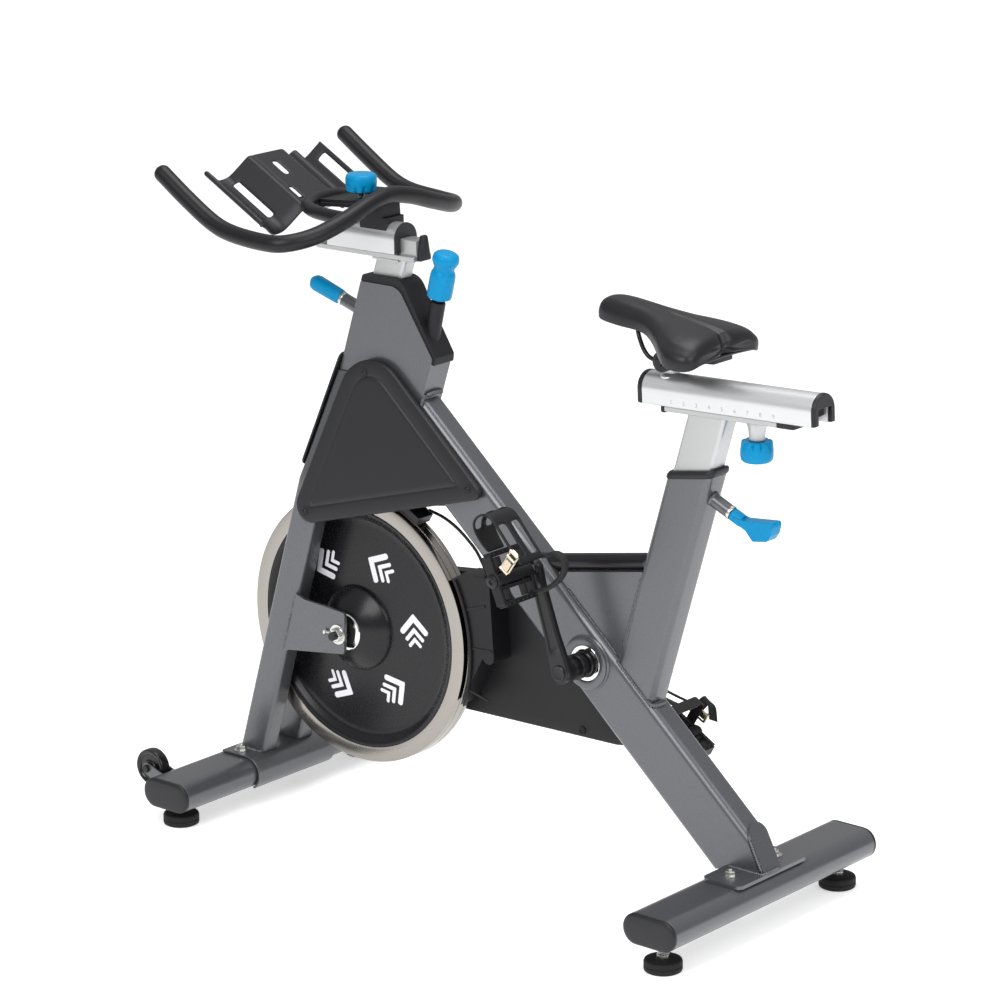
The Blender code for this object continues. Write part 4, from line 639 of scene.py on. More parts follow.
TURNS = (("left", radians(67)), ("right", radians(30)))
PEDAL_AXES = {hand: np.array([(cos(a), 0, -sin(a)), (sin(a), 0, cos(a)), Y]) for hand, a in TURNS}
hub = [(0, -0.043), (0.0120, -0.043), (0.0130, -0.041), (0.0115, -0.030), (0.0115, 0.030), (0.0130, 0.041),
       (0.0120, 0.043), (0, 0.043)]
tooth = [(0, 0), (0.0024, 0), (0.0012, 0.0026), (0, 0.0026)]
cap = [(0, 0.0432), (0.0105, 0.0432), (0.0105, 0.0455), (0.0085, 0.0468), (0.0040, 0.0468), (0.0035, 0.0450),
       (0, 0.0450)]
for hand, sign in HANDS:
    at, (px, pz, _) = PEDALS[hand], PEDAL_AXES[hand]
    parts = [bar(size, at + way * place * side, px, Y, pz) for size, way, place in
             (((0.008, 0.074, 0.018), px, 0.040), ((0.080, 0.007, 0.018), Y, 0.0385),
              ((0.006, 0.070, 0.014), px, 0.0145), ((0.070, 0.005, 0.013), Y, 0.019)) for side in (-1, 1)]
    parts += [turned(hub, at, Y, 40)]
    parts += [turned(tooth, at + px * x + Y * y + pz * side * 0.0088, pz * side, 10)
              for x in (-0.040, 0.040) for y in np.linspace(-0.032, 0.032, 7) for side in (-1, 1)]
    piece(f"{hand}_pedal_body", parts, nylon, f"pedal_unit_{hand}", [f"pedal_{hand}"], 0.0012)
    piece(f"{hand}_pedal_cap", [turned(cap, at, sign * Y, 32)], black_paint, f"pedal_unit_{hand}")

# Toe cages: a bent sheet of the same nylon with two rows of windows and a thick rim, fixed to the pedal's front.
# The sheet is a grid along the toe's curve; the cells inside the windows are left out before it is thickened.
def perforated(points, is_open):
    """A grid of points as a sheet without the cells of (row, column) that are open."""
    n, m = points.shape[:2]
    row, col = (a.ravel() for a in np.meshgrid(np.arange(n - 1), np.arange(m - 1), indexing="ij"))
    first = (row * m + col)[~is_open(row, col)]
    return points.reshape(-1, 3), np.stack([first, first + 1, first + m + 1, first + m], 1).tolist()


def cage_window(row, col):
    """The two windows of each row, to the left and right of the middle rib."""
    return np.isin(col, (1, 2, 5, 6)) & (((row >= 4) & (row <= 8)) | ((row >= 12) & (row <= 17)))


toe = smooth([(-0.0445, -0.0120), (-0.063, -0.0190), (-0.085, -0.0225), (-0.099, -0.014), (-0.1035, 0.004),
              (-0.097, 0.0200), (-0.080, 0.0285), (-0.060, 0.0350), (-0.040, 0.0420), (-0.024, 0.0480),
              (-0.012, 0.0520)], 2)
wide = np.interp(np.arange(len(toe)), [0, 6, 10, 20], [0.020, 0.027, 0.030, 0.029])
lanes = wide[:, None] * np.array([-1, -0.80, -0.55, -0.22, 0, 0.22, 0.55, 0.80, 1])
for hand, _ in HANDS:
    at, (px, pz, _) = PEDALS[hand], PEDAL_AXES[hand]
    sheet = at + toe[:, None, 0:1] * px + toe[:, None, 1:2] * pz + lanes[:, :, None] * Y
    piece(f"{hand}_toe_clip", [perforated(sheet, cage_window)], nylon, f"pedal_unit_{hand}", [f"toe_cage_{hand}"],
          thick=0.0042, levels=2)

# Toe straps: woven webbing with pressed steel buckles; the left one hangs open in a bow, the right one is done up.
# The weave is drawn at 2 mm, coarser than real, so that it shows.
webbing = finish("woven_nylon_webbing", "black_rubber", "#1A1A1C", "#101011", 0.002, (0.7, 0.85), 0.0002)
nickel = finish("pressed_nickel_steel", "polished_steel", "#D9CDB8", "#B9AC96", 0.003, (0.2, 0.32), 0.00001,
                Metallic=1.0)
at, axes = PEDALS["left"], PEDAL_AXES["left"]
px, pz, _ = axes
bow = np.array([(-0.016, 0.040, 0.036), (-0.0125, 0.054, 0.0385), (-0.012, 0.068, 0.0395), (-0.004, 0.0785, 0.0395),
                (0.009, 0.0795, 0.0395), (0.023, 0.0685, 0.0395), (0.033, 0.047, 0.0395), (0.037, 0.023, 0.0395),
                (0.036, -0.002, 0.0380)])
left_strap = [carried(oblong(0.0075, 0.0130, 0.0030, 3), smooth(at + bow @ axes, 8), Y)]
left_buckle = at + np.array([-0.0215, 0.0385, -0.0335]) @ axes, px * 0.54 - pz * 0.84, px * 0.84 + pz * 0.54
at, (px, pz, _) = PEDALS["right"] - PEDAL_AXES["right"][0] * 0.020, PEDAL_AXES["right"]
edge = at + 0.0465 * Y
flat, loop = oblong(0.0180, 0.0024, 0.0010, 3)[:, ::-1], oblong(0.0910, 0.0680, 0.016, 8)
tail = [edge + pz * 0.026 + 0.0025 * Y, edge + pz * 0.040 + 0.006 * Y, edge + pz * 0.052 + 0.013 * Y - Z * 0.004,
        edge + pz * 0.056 + 0.022 * Y - Z * 0.018, edge + pz * 0.056 + 0.027 * Y - Z * 0.045]
right_strap = [carried(flat, at + loop[:, 0:1] * Y + (loop[:, 1:2] + 0.0215) * pz, px, closed=True),
               carried(flat, smooth(tail, 10), px)]
right_buckle = edge + pz * 0.026 + 0.0034 * Y, px, pz
for hand, sign, strap, (hook, along, across) in (("left", -1, left_strap, left_buckle),
                                                 ("right", 1, right_strap, right_buckle)):
    piece(f"{hand}_toe_strap", strap, webbing, f"pedal_unit_{hand}")
    wire = hook + oblong(0.040, 0.016, 0.004, 4) @ np.array([along, across])
    clip = [carried(disc(0.0018, 10), wire, Y, closed=True),
            slab(oblong(0.0180, 0.0125, 0.002, 3), 0.0014, hook + along * 0.007 + sign * 0.0030 * Y, along, across)]
    clip += [turned(rod(0.0026, -0.009, 0.009), hook + along * place + sign * 0.002 * Y, across, 16)
             for place in (-0.018, -0.007, 0.019)]
    piece(f"{hand}_buckle", clip, nickel, f"pedal_unit_{hand}", (), 0.0003)

# Flywheel: a heavy turned wheel whose steel rim is ground bright, with two grooves round its tread.
# Turning leaves fine rings about the axle, drawn here 1.2 mm apart so that they show.
HUB, RING_GAP = np.array([-0.294, 0, 0.333]), 0.0012
ground_steel = finish("turned_ground_steel", "ground_rim", "#A29E98", "#908C86", 0.0020, (0.16, 0.22), 0.0,
                      Metallic=1.0)
tree = ground_steel.node_tree
at = add(tree, "TexCoord").outputs["Object"]
off = add(tree, "VectorMath", {1: tuple(-HUB)}, {0: at}, operation="ADD").outputs[0]
flat = add(tree, "VectorMath", {1: (1, 0, 1)}, {0: off}, operation="MULTIPLY").outputs[0]
far = add(tree, "VectorMath", links={0: flat}, operation="LENGTH").outputs["Value"]
turns = add(tree, "Math", {1: 2 * pi / RING_GAP}, {0: far}, operation="MULTIPLY").outputs[0]
wave = add(tree, "Math", links={0: turns}, operation="SINE").outputs[0]
bump = add(tree, "Bump", {"Strength": 0.5, "Distance": 0.00001}, {"Height": wave})
tree.links.new(bump.outputs[0], tree.nodes["Principled BSDF"].inputs["Normal"])
rim = [(0.2040, 0.0165), (0.2046, 0.0176), (0.2060, 0.0180), (0.2275, 0.0180), (0.2294, 0.0174), (0.2300, 0.0160),
       (0.2300, 0.0092), (0.2288, 0.0086), (0.2288, 0.0066), (0.2300, 0.0060)]
piece("ground_rim", [turned(mirrored(rim), HUB, -Y, 192, True)], ground_steel, "flywheel", ["flywheel_rim"])

# Flywheel disc: an iron casting in semi-gloss black, with a coved outer ring, a shallow web and a domed hub.
# On the left a bright ring faces the hub; on the right the casting ends in the small belt pulley.
black_iron = finish("black_enamelled_iron", "black_casting", "#131317", "#111114", 0.0025, (0.26, 0.28), 0.0,
                    Specular_IOR_Level=0.32)
web = smooth([(0.0240, 0.0478), (0.0300, 0.0472), (0.0400, 0.0430), (0.0540, 0.0345), (0.0660, 0.0250),
              (0.0700, 0.0212)], 6)
ring = smooth([(0.0720, 0.0150), (0.0760, 0.0140), (0.1200, 0.0112), (0.1690, 0.0082), (0.1800, 0.0080),
               (0.1860, 0.0092), (0.1915, 0.0126), (0.1965, 0.0160), (0.2010, 0.0174), (0.2036, 0.0170)], 6)
right = [(0.2036, -0.0130), (0.2010, -0.0156), (0.1960, -0.0168), (0.1890, -0.0160), (0.1820, -0.0128),
         (0.1755, -0.0098), (0.0600, -0.0090), (0.0280, -0.0265), (0.0280, -0.0345), (0.0250, -0.0350),
         (0.0250, -0.0505), (0.0107, -0.0505)]
casting = np.vstack([[(0.0107, 0.0470)], web, ring, right])
bright = [(0.0225, 0.0440), (0.0225, 0.0496), (0.0235, 0.0506), (0.0300, 0.0496), (0.0312, 0.0480), (0.0312, 0.0440)]
seal = [(0.0108, 0.0470), (0.0108, 0.0500), (0.0180, 0.0505), (0.0223, 0.0490), (0.0223, 0.0470)]
piece("cast_disc", [turned(casting, HUB, -Y, 192, True)], black_iron, "flywheel", ["flywheel_disc"])
piece("hub_ring", [turned(bright, HUB, -Y, 96, True)], chrome, "flywheel")
piece("hub_seal", [turned(seal, HUB, -Y, 64, True)], black_rubber, "flywheel")

# Wheel markings: six groups of three nested chevrons, screen printed in white, that point the way the wheel turns.
# Ink lies 0.4 mm thick on the web's cone, whose height falls from hub to rim.
white_ink = finish("white_screen_ink", "black_casting", "#E9E8EE", "#DEDDE4", 0.003, (0.4, 0.5), 0.000005)
marks = []
MARK_OUT, FIRST_MARK = 0.1190, 5.2
for turn in np.radians(FIRST_MARK + 60 * np.arange(6)):
    radial, ahead = np.array([cos(turn), sin(turn)]), np.array([-sin(turn), cos(turn)])
    for lead, arm, stroke in ((0.034, 0.0305, 0.0102), (0.011, 0.0205, 0.0068), (-0.0055, 0.0145, 0.0060)):
        chev = rounded([(0, 0), (arm, -arm), (arm - stroke * 0.7, -arm - stroke * 0.7), (0, -stroke * 1.41),
                        (-arm + stroke * 0.7, -arm - stroke * 0.7), (-arm, -arm)],
                       np.array([0.20, 0.46, 0.46, 0.05, 0.46, 0.46]) * stroke, 4)
        flat = (MARK_OUT + chev[:, 0:1]) * radial + (chev[:, 1:2] + lead) * ahead
        high = np.interp(np.hypot(*flat.T), [0.0760, 0.1200, 0.1690], [0.0140, 0.0112, 0.0082])
        ground = HUB + np.c_[flat[:, 0], -high - 0.0001, flat[:, 1]]
        marks.append(skin([ground, ground - 0.0004 * Y]))
piece("wheel_chevrons", marks, white_ink, "flywheel")

# Wheel axle: a threaded steel axle held in the two plates by nuts and washers, with a tension screw at the left.
# The thread is blackened; nuts and washers are zinc plated.
rise = np.arange(0.0755, 0.0835, 0.0008)
stud = np.vstack([[(0, rise[0])], thread(0.0072, 0.0065, rise), [(0, rise[-1] + 0.0004)]])
studs = [turned(stud, HUB, side * Y, 32) for side in (-1, 1)]
piece("threaded_axle", studs + [turned(rod(0.0100, -0.0673, 0.0673), HUB, Y, 40)], black_paint, "frame",
      ["flywheel_axle"])
washer = [(0.0074, 0.0672), (0.0165, 0.0672), (0.0165, 0.0690), (0.0074, 0.0690)]
nuts = [s for side in (-1, 1) for s in (turned(washer, HUB, side * Y, 48, True),
                                        turned(rod(0.0128, 0.0690, 0.0702), HUB, side * Y, 48),
                                        hexagon(HUB, side * Y, 0.0118, 0.0702, 0.0768))]
piece("axle_nuts", nuts, bright_steel, "frame")
piece("tension_screw", [carried(disc(0.0028, 16), [(-0.318, -0.0690, 0.3335), (-0.306, -0.0690, 0.3335)], Z),
                        hexagon((-0.3175, -0.0690, 0.3335), -X, 0.0055, 0.0, 0.0045)],
      bright_steel, "frame")

# Side covers: two triangular ABS mouldings with a rolled edge and a raised panel, held by three screws.
# Each surface is the outline carried inwards and outwards: rings of (inset, height), with the corners rounded again.
def triangle(corners, d, radii):
    """A triangle with its sides moved in by d and its corners rounded by the radii less d."""
    p = np.array(corners, float)
    _, _, half, middle = corners_of(p)
    return rounded(p + middle * d / np.sin(half), np.maximum(np.array(radii) - d, 0.004), 10)


SCREWS = {"left": ((-0.249, 0.7782), (-0.0337, 0.6205), (-0.355, 0.5339)),
          "right": ((-0.258, 0.7460), (-0.0530, 0.5960), (-0.355, 0.5339))}
CORNERS = (-0.2599, 0.0378, 0.8484), (0.0030, 0.0395, 0.6108), (-0.3927, 0.0834, 0.5028)
radii = [0.066, 0.0135, 0.029]
shape = [(0.0035, -0.0030), (0.0035, -0.0094), (0.0035, -0.0094), (0.0008, -0.0094), (0.0, -0.0088), (0.0, -0.0040),
         (0.0006, -0.0020), (0.0022, -0.0006), (0.0045, 0.0), (0.0240, 0.0), (0.0252, -0.0002), (0.0262, -0.0008),
         (0.0272, -0.0008), (0.0290, 0.0007), (0.0310, 0.0013), (0.0350, 0.0014)]
dome = [(0, -0.001), (0.0046, -0.001), (0.0046, 0.0006), (0.0038, 0.0016), (0.0022, 0.0022), (0.0016, 0.0012),
        (0, 0.0012)]
cup = [(0.0048, -0.0004), (0.0070, 0.0003), (0.0074, 0.0008), (0.0062, 0.0010), (0.0048, 0.0006)]
for hand, sign, trim in (("left", -1, 0.0), ("right", 1, 0.030)):
    apex, heel, toe = np.array(CORNERS) * (1, sign, 1)
    shift = unit(toe - apex) * trim
    apex, heel = apex + shift, heel + shift
    out = unit(np.cross(heel - apex, toe - apex))
    out = out * np.sign(out[1]) * sign
    cx = unit(heel - apex)
    cy = np.cross(out, cx)
    corners = [((p - apex) @ cx, (p - apex) @ cy) for p in (apex, heel, toe)]
    rings = [apex + triangle(corners, d, radii) @ np.array([cx, cy]) + h * out for d, h in shape]
    piece(f"{hand}_cover", [skin(rings)], black_abs, "frame", [f"side_cover_{hand}"], angle=50)
    spots = [(x, (apex @ out - x * out[0] - z * out[2]) / out[1], z) for x, z in SCREWS[hand]]
    piece(f"{hand}_cover_screws", [turned(dome, spot, out, 28) for spot in spots], black_paint, "frame")
    piece(f"{hand}_screw_cups", [turned(cup, spot, out, 32, True) for spot in spots], black_abs, "frame")

# Front shield: a flat ABS plate, narrow above and wide below, clipped across the front of the legs.
# It shows from this side as a thin black edge in front of the left leg.
shield_way = unit([LEG_TOP_X - leg_front(KNEE), 0, LEG_TOP - KNEE])
shield_in = np.array([shield_way[2], 0, -shield_way[0]])
shield = rounded([(0.030, 0.030), (-0.030, 0.030), (-0.058, -0.175), (0.058, -0.175)], 0.010)
shield_at = np.array([LEG_TOP_X, 0, LEG_TOP]) - shield_in * 0.0036
piece("leg_shield", [slab(shield, 0.004, shield_at, Y, shield_way)], black_abs, "frame", ["front_shield"], 0.0012)

# Belt guard: two half shells of the pedals' nylon round the belt, with a block that fills in behind the wheel; on the
# guard the nylon's darker colour is painted shade for its shaded place behind the wheel.
# The inner half shows between wheel and beam, with moulded ribs, a lapped edge, a thin stay and a screw hole.
NOSE, WAKE, LAP = 0.100, 0.237, 0.245


def guard_side(d):
    """The guard's outline drawn in by d: an arc about the axle in front, flat below, squared off behind."""
    a = np.radians(np.linspace(98, 255, 24))
    nose = np.c_[HUB[0] + (NOSE - d) * np.cos(a), HUB[2] + (NOSE - d) * np.sin(a)]
    rest = [(-0.100, 0.2195 + d), (0.283 - d, 0.2275 + d), (0.283 - d, 0.476 - d), (0.08, 0.476 - d)]
    return rounded(np.vstack([nose, rest]), [0.0005] * len(nose) + [0.0005, 0.07, 0.09, 0.08], 6)


a = np.radians(np.linspace(-22, 31, 30))
wake = np.vstack([np.c_[HUB[0] + WAKE * np.cos(a), HUB[2] + WAKE * np.sin(a)],
                  rounded([(-0.070, 0.468), (-0.012, 0.470), (0.004, 0.240)], [0.001, 0.012, 0.012])])
fender = [slab(wake, 0.0440, (0, 0.0068, 0))]
for turn in np.radians((-14, 3, 18)):
    spoke, swing = np.array([cos(turn), 0, sin(turn)]), np.array([-sin(turn), 0, cos(turn)])
    fender.append(bar((0.050, 0.0022, 0.0040), HUB + spoke * 0.263 - 0.0155 * Y, spoke, Y, swing))
a = np.radians(np.linspace(-21, 30, 40))[:, None]
lap = HUB + LAP * (np.cos(a) * X + np.sin(a) * Z) - 0.0152 * Y
stay = [(-0.1506, 0, 0.5564), (-0.1207, 0, 0.5500), (-0.0932, 0, 0.5382), (-0.068, 0, 0.5210), (-0.0471, 0, 0.5015),
        (-0.0263, 0, 0.4685)]
fender += [carried(oblong(0.0030, 0.0090, 0.0012, 3), lap, Y), carried(disc(0.0026, 12), smooth(stay, 10), Y)]
# the darker nylon colour on these shells is painted shade
for half, near, far, more, edge in (("inner", 0.0283, 0.0450, fender, 0.0012), ("outer", 0.0560, 0.0453, [], 0)):
    lip = np.sign(far - near) * 0.002
    rings = [guard_side(d) @ np.array([X, Z]) + y * Y for d, y in
             ((0.0200, near), (0.0040, near), (0.0014, near + 0.3 * lip), (0.0002, near + lip), (0.0, near + 2 * lip),
              (0.0, far))]
    piece(f"{half}_guard", [skin(rings)] + more, nylon, "frame", [f"belt_guard_{half}"], edge)
HOLE = np.array([0.1455, 0.0280, 0.2364])
eyelet = [(0.0042, 0.0), (0.0066, 0.0004), (0.0068, 0.0012), (0.0050, 0.0016), (0.0042, 0.0010)]
piece("guard_screw_hole", [turned(eyelet, HOLE, -Y, 32, True), turned(rod(0.0042, 0.0002, 0.0005), HOLE, -Y, 24)],
      black_rubber, "frame")
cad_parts["drive_belt"].data.materials.clear()
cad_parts["drive_belt"].data.materials.append(black_rubber)

# Push brake: a rod through boot and neck, a felt-lined shoe over the rim, and a waisted knob on top.
# The knob is moulded in blue polypropylene, glossy, with faint flow marks.
blue = finish("blue_polypropylene", "blue_plastic", "#0085B8", "#007DAE", 0.006, (0.26, 0.36), 0.00002,
              Specular_IOR_Level=0.15)
PUSH = atan2(0.239, 1)
ROD, KNOB = np.array([sin(PUSH), 0, cos(PUSH)]), np.array([-0.106, 0, 0.989])
grip = smooth([(0, 0.0002), (0.0080, 0.0000), (0.0150, -0.0012), (0.0198, -0.0046), (0.0215, -0.0100),
               (0.0213, -0.0160), (0.0190, -0.0215), (0.0168, -0.0262), (0.0172, -0.0305), (0.0196, -0.0360),
               (0.0205, -0.0430), (0.0205, -0.0600), (0.0203, -0.0730), (0.0196, -0.0768)], 4)
socket = [(0.0180, -0.0780), (0.0075, -0.0780), (0.0075, -0.0455), (0, -0.0455)]
piece("brake_grip_knob", [turned(np.vstack([grip, socket]), KNOB, ROD, 72)], blue, "brake_grip", ["brake_knob"])
piece("push_rod", [turned(rod(0.0070, -0.0462, -0.4338), KNOB, ROD, 32)], black_paint, "brake", ["brake_rod"])
felt = finish("pressed_felt", "black_plastic", "#3A3733", "#2A2825", 0.0016, (0.9, 1.0), 0.0003)
a = np.radians(np.r_[np.linspace(79, 57, 16), np.linspace(57, 79, 16)])
for name, low, high, cloth, node in (("brake_backing", 0.2400, 0.2520, black_abs, ["brake_shoe"]),
                                     ("brake_felt", 0.2355, 0.2400, felt, [])):
    r = np.repeat([low, high], 16)
    piece(name, [slab(np.c_[HUB[0] + r * np.cos(a), HUB[2] + r * np.sin(a)], 0.036)], cloth, "brake", node, 0.0012)

# Neck boot: a soft PVC cover over the neck's mouth and its rear slope, drawn out into a sleeve round the brake rod.
# The strip is an outline with rounded corners; the sleeve is turned and swells where it joins the strip.
lean = unit([brow[1] - chin[1], chin[0] - brow[0]])
tail = chin + lean * 0.0005
outer = rounded([(head_front(NECK_TOP) - 0.001, brow[1]), (head_front(0.936) - 0.001, 0.936), (-0.184, 0.9385),
                 chin * 0.62 + brow * 0.38 + lean * 0.008, chin + lean * 0.0065, (-0.1150, 0.806), (-0.1209, 0.8065),
                 tail], [0.001, 0.006, 0.030, 0.020, 0.006, 0.002, 0.0005, 0.0005], 8)
inner = rounded([(-0.30, brow[1]), brow + lean * 0.0005, tail], [0.001, 0.030, 0.001], 8)
soft_pvc = finish("soft_black_pvc", "black_plastic", "#16161A", "#121215", 0.0016, (0.45, 0.58), 0.00003,
                  Specular_IOR_Level=0.3)
sleeve = smooth([(0.0078, -0.0850), (0.0105, -0.0848), (0.0122, -0.0870), (0.0126, -0.0950), (0.0128, -0.1200),
                 (0.0134, -0.1400), (0.0140, -0.1520), (0.0136, -0.1640), (0.0100, -0.1730), (0.0050, -0.1760)], 5)
piece("neck_boot", [slab(np.vstack([outer, inner[:8:-1]]), 0.046),
                    turned(np.vstack([sleeve, [(0.0040, -0.1400)]]), KNOB, ROD, 56, True)],
      soft_pvc, "frame", ["head_boot"], 0.0018)

# Locking pins: steel plungers in the barrels, with grips moulded in the same blue as the brake knob.
# The front one has a round-ended straight grip; the rear one is a bent paddle.
pull_up = np.array([-PULL[2], 0, PULL[0]])
along = np.array([0, 0.0025, 0.008, 0.030, 0.055, 0.0625, 0.0668]) + 0.0482
swell = np.array([0.80, 0.94, 1.0, 1.03, 1.06, 0.94, 0.60])
rings = [PIN + PULL * d + oblong(0.0232 * k, 0.0236 * k, 0.0085 * k, 5) @ np.array([Y, pull_up])
         for d, k in zip(along, swell)]
piece("front_pull", [skin(rings), turned(rod(0.0058, 0.0005, 0.052), PIN, PULL, 24)], blue, "bar_lock", ["bar_pin"],
      0.0012)
lever = rounded([(0.4705, 0.6522), (0.4737, 0.6596), (0.4881, 0.6565), (0.5452, 0.6622), (0.5463, 0.6553),
                 (0.5427, 0.6421), (0.5354, 0.6314), (0.5084, 0.6268), (0.4950, 0.6417)],
                [0.003, 0.003, 0.012, 0.004, 0.004, 0.006, 0.005, 0.005, 0.008], 6)
neck = [(0, 0.0405), (0.0094, 0.0405), (0.0104, 0.0415), (0.0106, 0.0440), (0.0106, 0.0585), (0.0098, 0.0615),
        (0, 0.0630)]
piece("rear_pull", [slab(lever, 0.0236), turned(neck, LATCH, SEAT_PULL, 40),
                    turned(rod(0.0058, 0.0005, 0.046), LATCH, SEAT_PULL, 24)], blue, "seat_lock", ["seat_pin"], 0.0045)

# Posts: rectangular extrusions in satin anodised aluminium, each with a T-shaped rail welded on top.
# Extruding leaves fine lines along the rail; they are drawn 0.6 mm wide and 60 mm long.
silver = finish("satin_anodised_aluminium", "anodised_aluminium", "#BFC0C0", "#B0B2B2", 0.0006, (0.38, 0.46),
                0.000004, (0.01, 1, 1), Metallic=0.85)
FLANGE = np.array([(0.0215, -0.0080), (0.0205, -0.0090), (-0.0205, -0.0090), (-0.0215, -0.0080), (-0.0215, -0.0014),
                   (-0.0207, -0.0006), (-0.0150, -0.0006), (-0.0150, 0.0242), (-0.0142, 0.0250), (0.0142, 0.0250),
                   (0.0150, 0.0242), (0.0150, -0.0006), (0.0207, -0.0006), (0.0215, -0.0014)])


def rail_dirs(tilt):
    """Along and up directions of a rail tilted by an angle."""
    return np.array([cos(tilt), 0, sin(tilt)]), np.array([-sin(tilt), 0, cos(tilt)])


BAR_RUN, BAR_LIFT = rail_dirs(radians(1.0))
SEAT_RUN, SEAT_LIFT = rail_dirs(radians(2.4))
BAR_RAIL, SEAT_RAIL = np.array([-0.263, 0, 0.9756]), np.array([0.469, 0, 0.8205])
POST = np.array([-0.2246, 0, 0.930])
stem = POST + oblong(0.030, 0.060, 0.006) @ np.array([Y, NECK_OUT])
saddle_plate = oblong(0.0560, 0.0040, 0.0015, 3)
piece("bar_column_post", [slab(FLANGE, 0.210, BAR_RAIL, Y, BAR_LIFT),
                          drawn(stem, NECK, (POST - NECK * 0.235, NECK), [(BAR_RAIL - BAR_LIFT * 0.004, BAR_LIFT)]),
                          slab(saddle_plate, 0.0380, BAR_RAIL + np.array([0.0420, 0, -0.0108]))],
      silver, "bar_column", ["handlebar_post"], 0.0005)
mast = seat_at(0.700) + oblong(0.036, 0.070, 0.007) @ np.array([Y, SEAT_BACK])
SEAT_KNOB = np.array([0.507, 0, 0.784])
boss = [(0.0058, 0.0), (0.0118, 0.0), (0.0125, 0.0007), (0.0128, 0.010), (0.0140, 0.019), (0.0170, 0.0265),
        (0.0185, 0.029), (0.0058, 0.029)]
piece("seat_column_post", [slab(FLANGE, 0.2115, SEAT_RAIL - SEAT_RUN * 0.01675, Y, SEAT_LIFT),
                           drawn(mast, SEAT_UP, (seat_at(0.475), SEAT_UP),
                                 [(SEAT_RAIL - SEAT_LIFT * 0.004, SEAT_LIFT)]),
                           turned(boss, SEAT_KNOB, Z, 48, True)], silver, "seat_column", ["seat_post"], 0.0005)

# Rail end caps: black plugs over the ends of the rails, the front post's one a wedge behind the slider.
# Moulded in the same ABS as the covers.
def scaled(section, at, run, lift, steps, mid=(0, 0)):
    """A section drawn along a run and scaled about a point of its own: one ring for each (distance, scale)."""
    return skin([at + run * d + ((section - np.array(mid)) * k + mid) @ np.array([Y, lift]) for d, k in steps])


wedge = np.array([(0.0126, -0.0085), (0.0135, -0.0068), (0.0068, 0.0306), (0.0052, 0.0325), (-0.0052, 0.0325),
                  (-0.0068, 0.0306), (-0.0135, -0.0068), (-0.0126, -0.0085)])
foot = oblong(0.0440, 0.0125, 0.0030, 4) + (0, -0.0050)
tongue = oblong(0.0290, 0.0135, 0.002, 4) + (0, 0.0178)
piece("bar_rail_plug", [scaled(wedge, BAR_RAIL + BAR_RUN * 0.1052, BAR_RUN, BAR_LIFT,
                               ((0, 0.98), (0.0010, 1), (0.0055, 1), (0.0070, 0.93)))],
      black_abs, "bar_column", (), 0.0010)
piece("seat_rail_front_plug", [scaled(foot, SEAT_RAIL - SEAT_RUN * 0.1226, -SEAT_RUN, SEAT_LIFT,
                                      ((0, 0.98), (0.0008, 1), (0.0060, 1), (0.0080, 0.90)))],
      black_abs, "seat_column", (), 0.0006)
tail = scaled(FLANGE, SEAT_RAIL, SEAT_RUN, SEAT_LIFT,
              ((0.0892, 0.99), (0.0900, 1.006), (0.1180, 1.006), (0.1205, 0.98), (0.1215, 0.92)))
piece("seat_rail_rear_plug", [tail, slab(tongue, 0.032, SEAT_RAIL + SEAT_RUN * 0.1350, Y, SEAT_LIFT)], black_abs,
      "seat_column")

# Sliders: round-topped extrusions that run on the rails and carry the saddle and the handlebar.
# Black end plates close them; plain figures on the seat slider's side number its settings.
SLIDE_R, SLIDE_UP = 0.0255, 0.0225
a = np.radians(np.linspace(0, 180, 40))
dome = np.vstack([[(SLIDE_R, 0.0012), (SLIDE_R, 0.0200)], np.c_[SLIDE_R * np.cos(a), SLIDE_UP + SLIDE_R * np.sin(a)],
                  [(-SLIDE_R, 0.0200), (-SLIDE_R, 0.0012)]])
channel = np.vstack([dome, [(-0.0246, 0), (-0.0160, 0), (-0.0155, 0.0006), (-0.0155, 0.0250), (-0.0150, 0.0256),
                            (0.0150, 0.0256), (0.0155, 0.0250), (0.0155, 0.0006), (0.0160, 0), (0.0246, 0)]])
alloy = finish("polished_aluminium_extrusion", "anodised_aluminium", "#DADBDC", "#CED0D1", 0.0006, (0.30, 0.38),
               0.000002, (0.01, 1, 1), Metallic=0.8)
SEAT_MID, BAR_MID = np.array([0.4660, 0, 0.8204]), np.array([-0.268, 0, 0.9755])
SEAT_END, BAR_END = 0.1593, 0.0731
PLATFORM = np.array([0.343, 0, 0.884])
pin = [(0, -0.030), (0.0175, -0.030), (0.0175, -0.0250), (0.0150, -0.0225), (0.0110, -0.0205), (0.0105, -0.0180),
       (0.0105, -0.0150), (0, -0.0150)]
piece("bar_slide_channel", [slab(channel, 0.146, BAR_MID, Y, BAR_LIFT)], alloy, "bar_carriage", ["handlebar_slider"],
      0.0005)
piece("seat_slide_channel", [slab(channel, 0.3183, SEAT_MID, Y, SEAT_LIFT), turned(pin, PLATFORM, Z, 48)], alloy,
      "seat_carriage", ["seat_slider"], 0.0005)
plate = np.vstack([dome, [(-0.0166, 0.0012), (-0.0166, 0.0262), (0.0166, 0.0262), (0.0166, 0.0012)]])
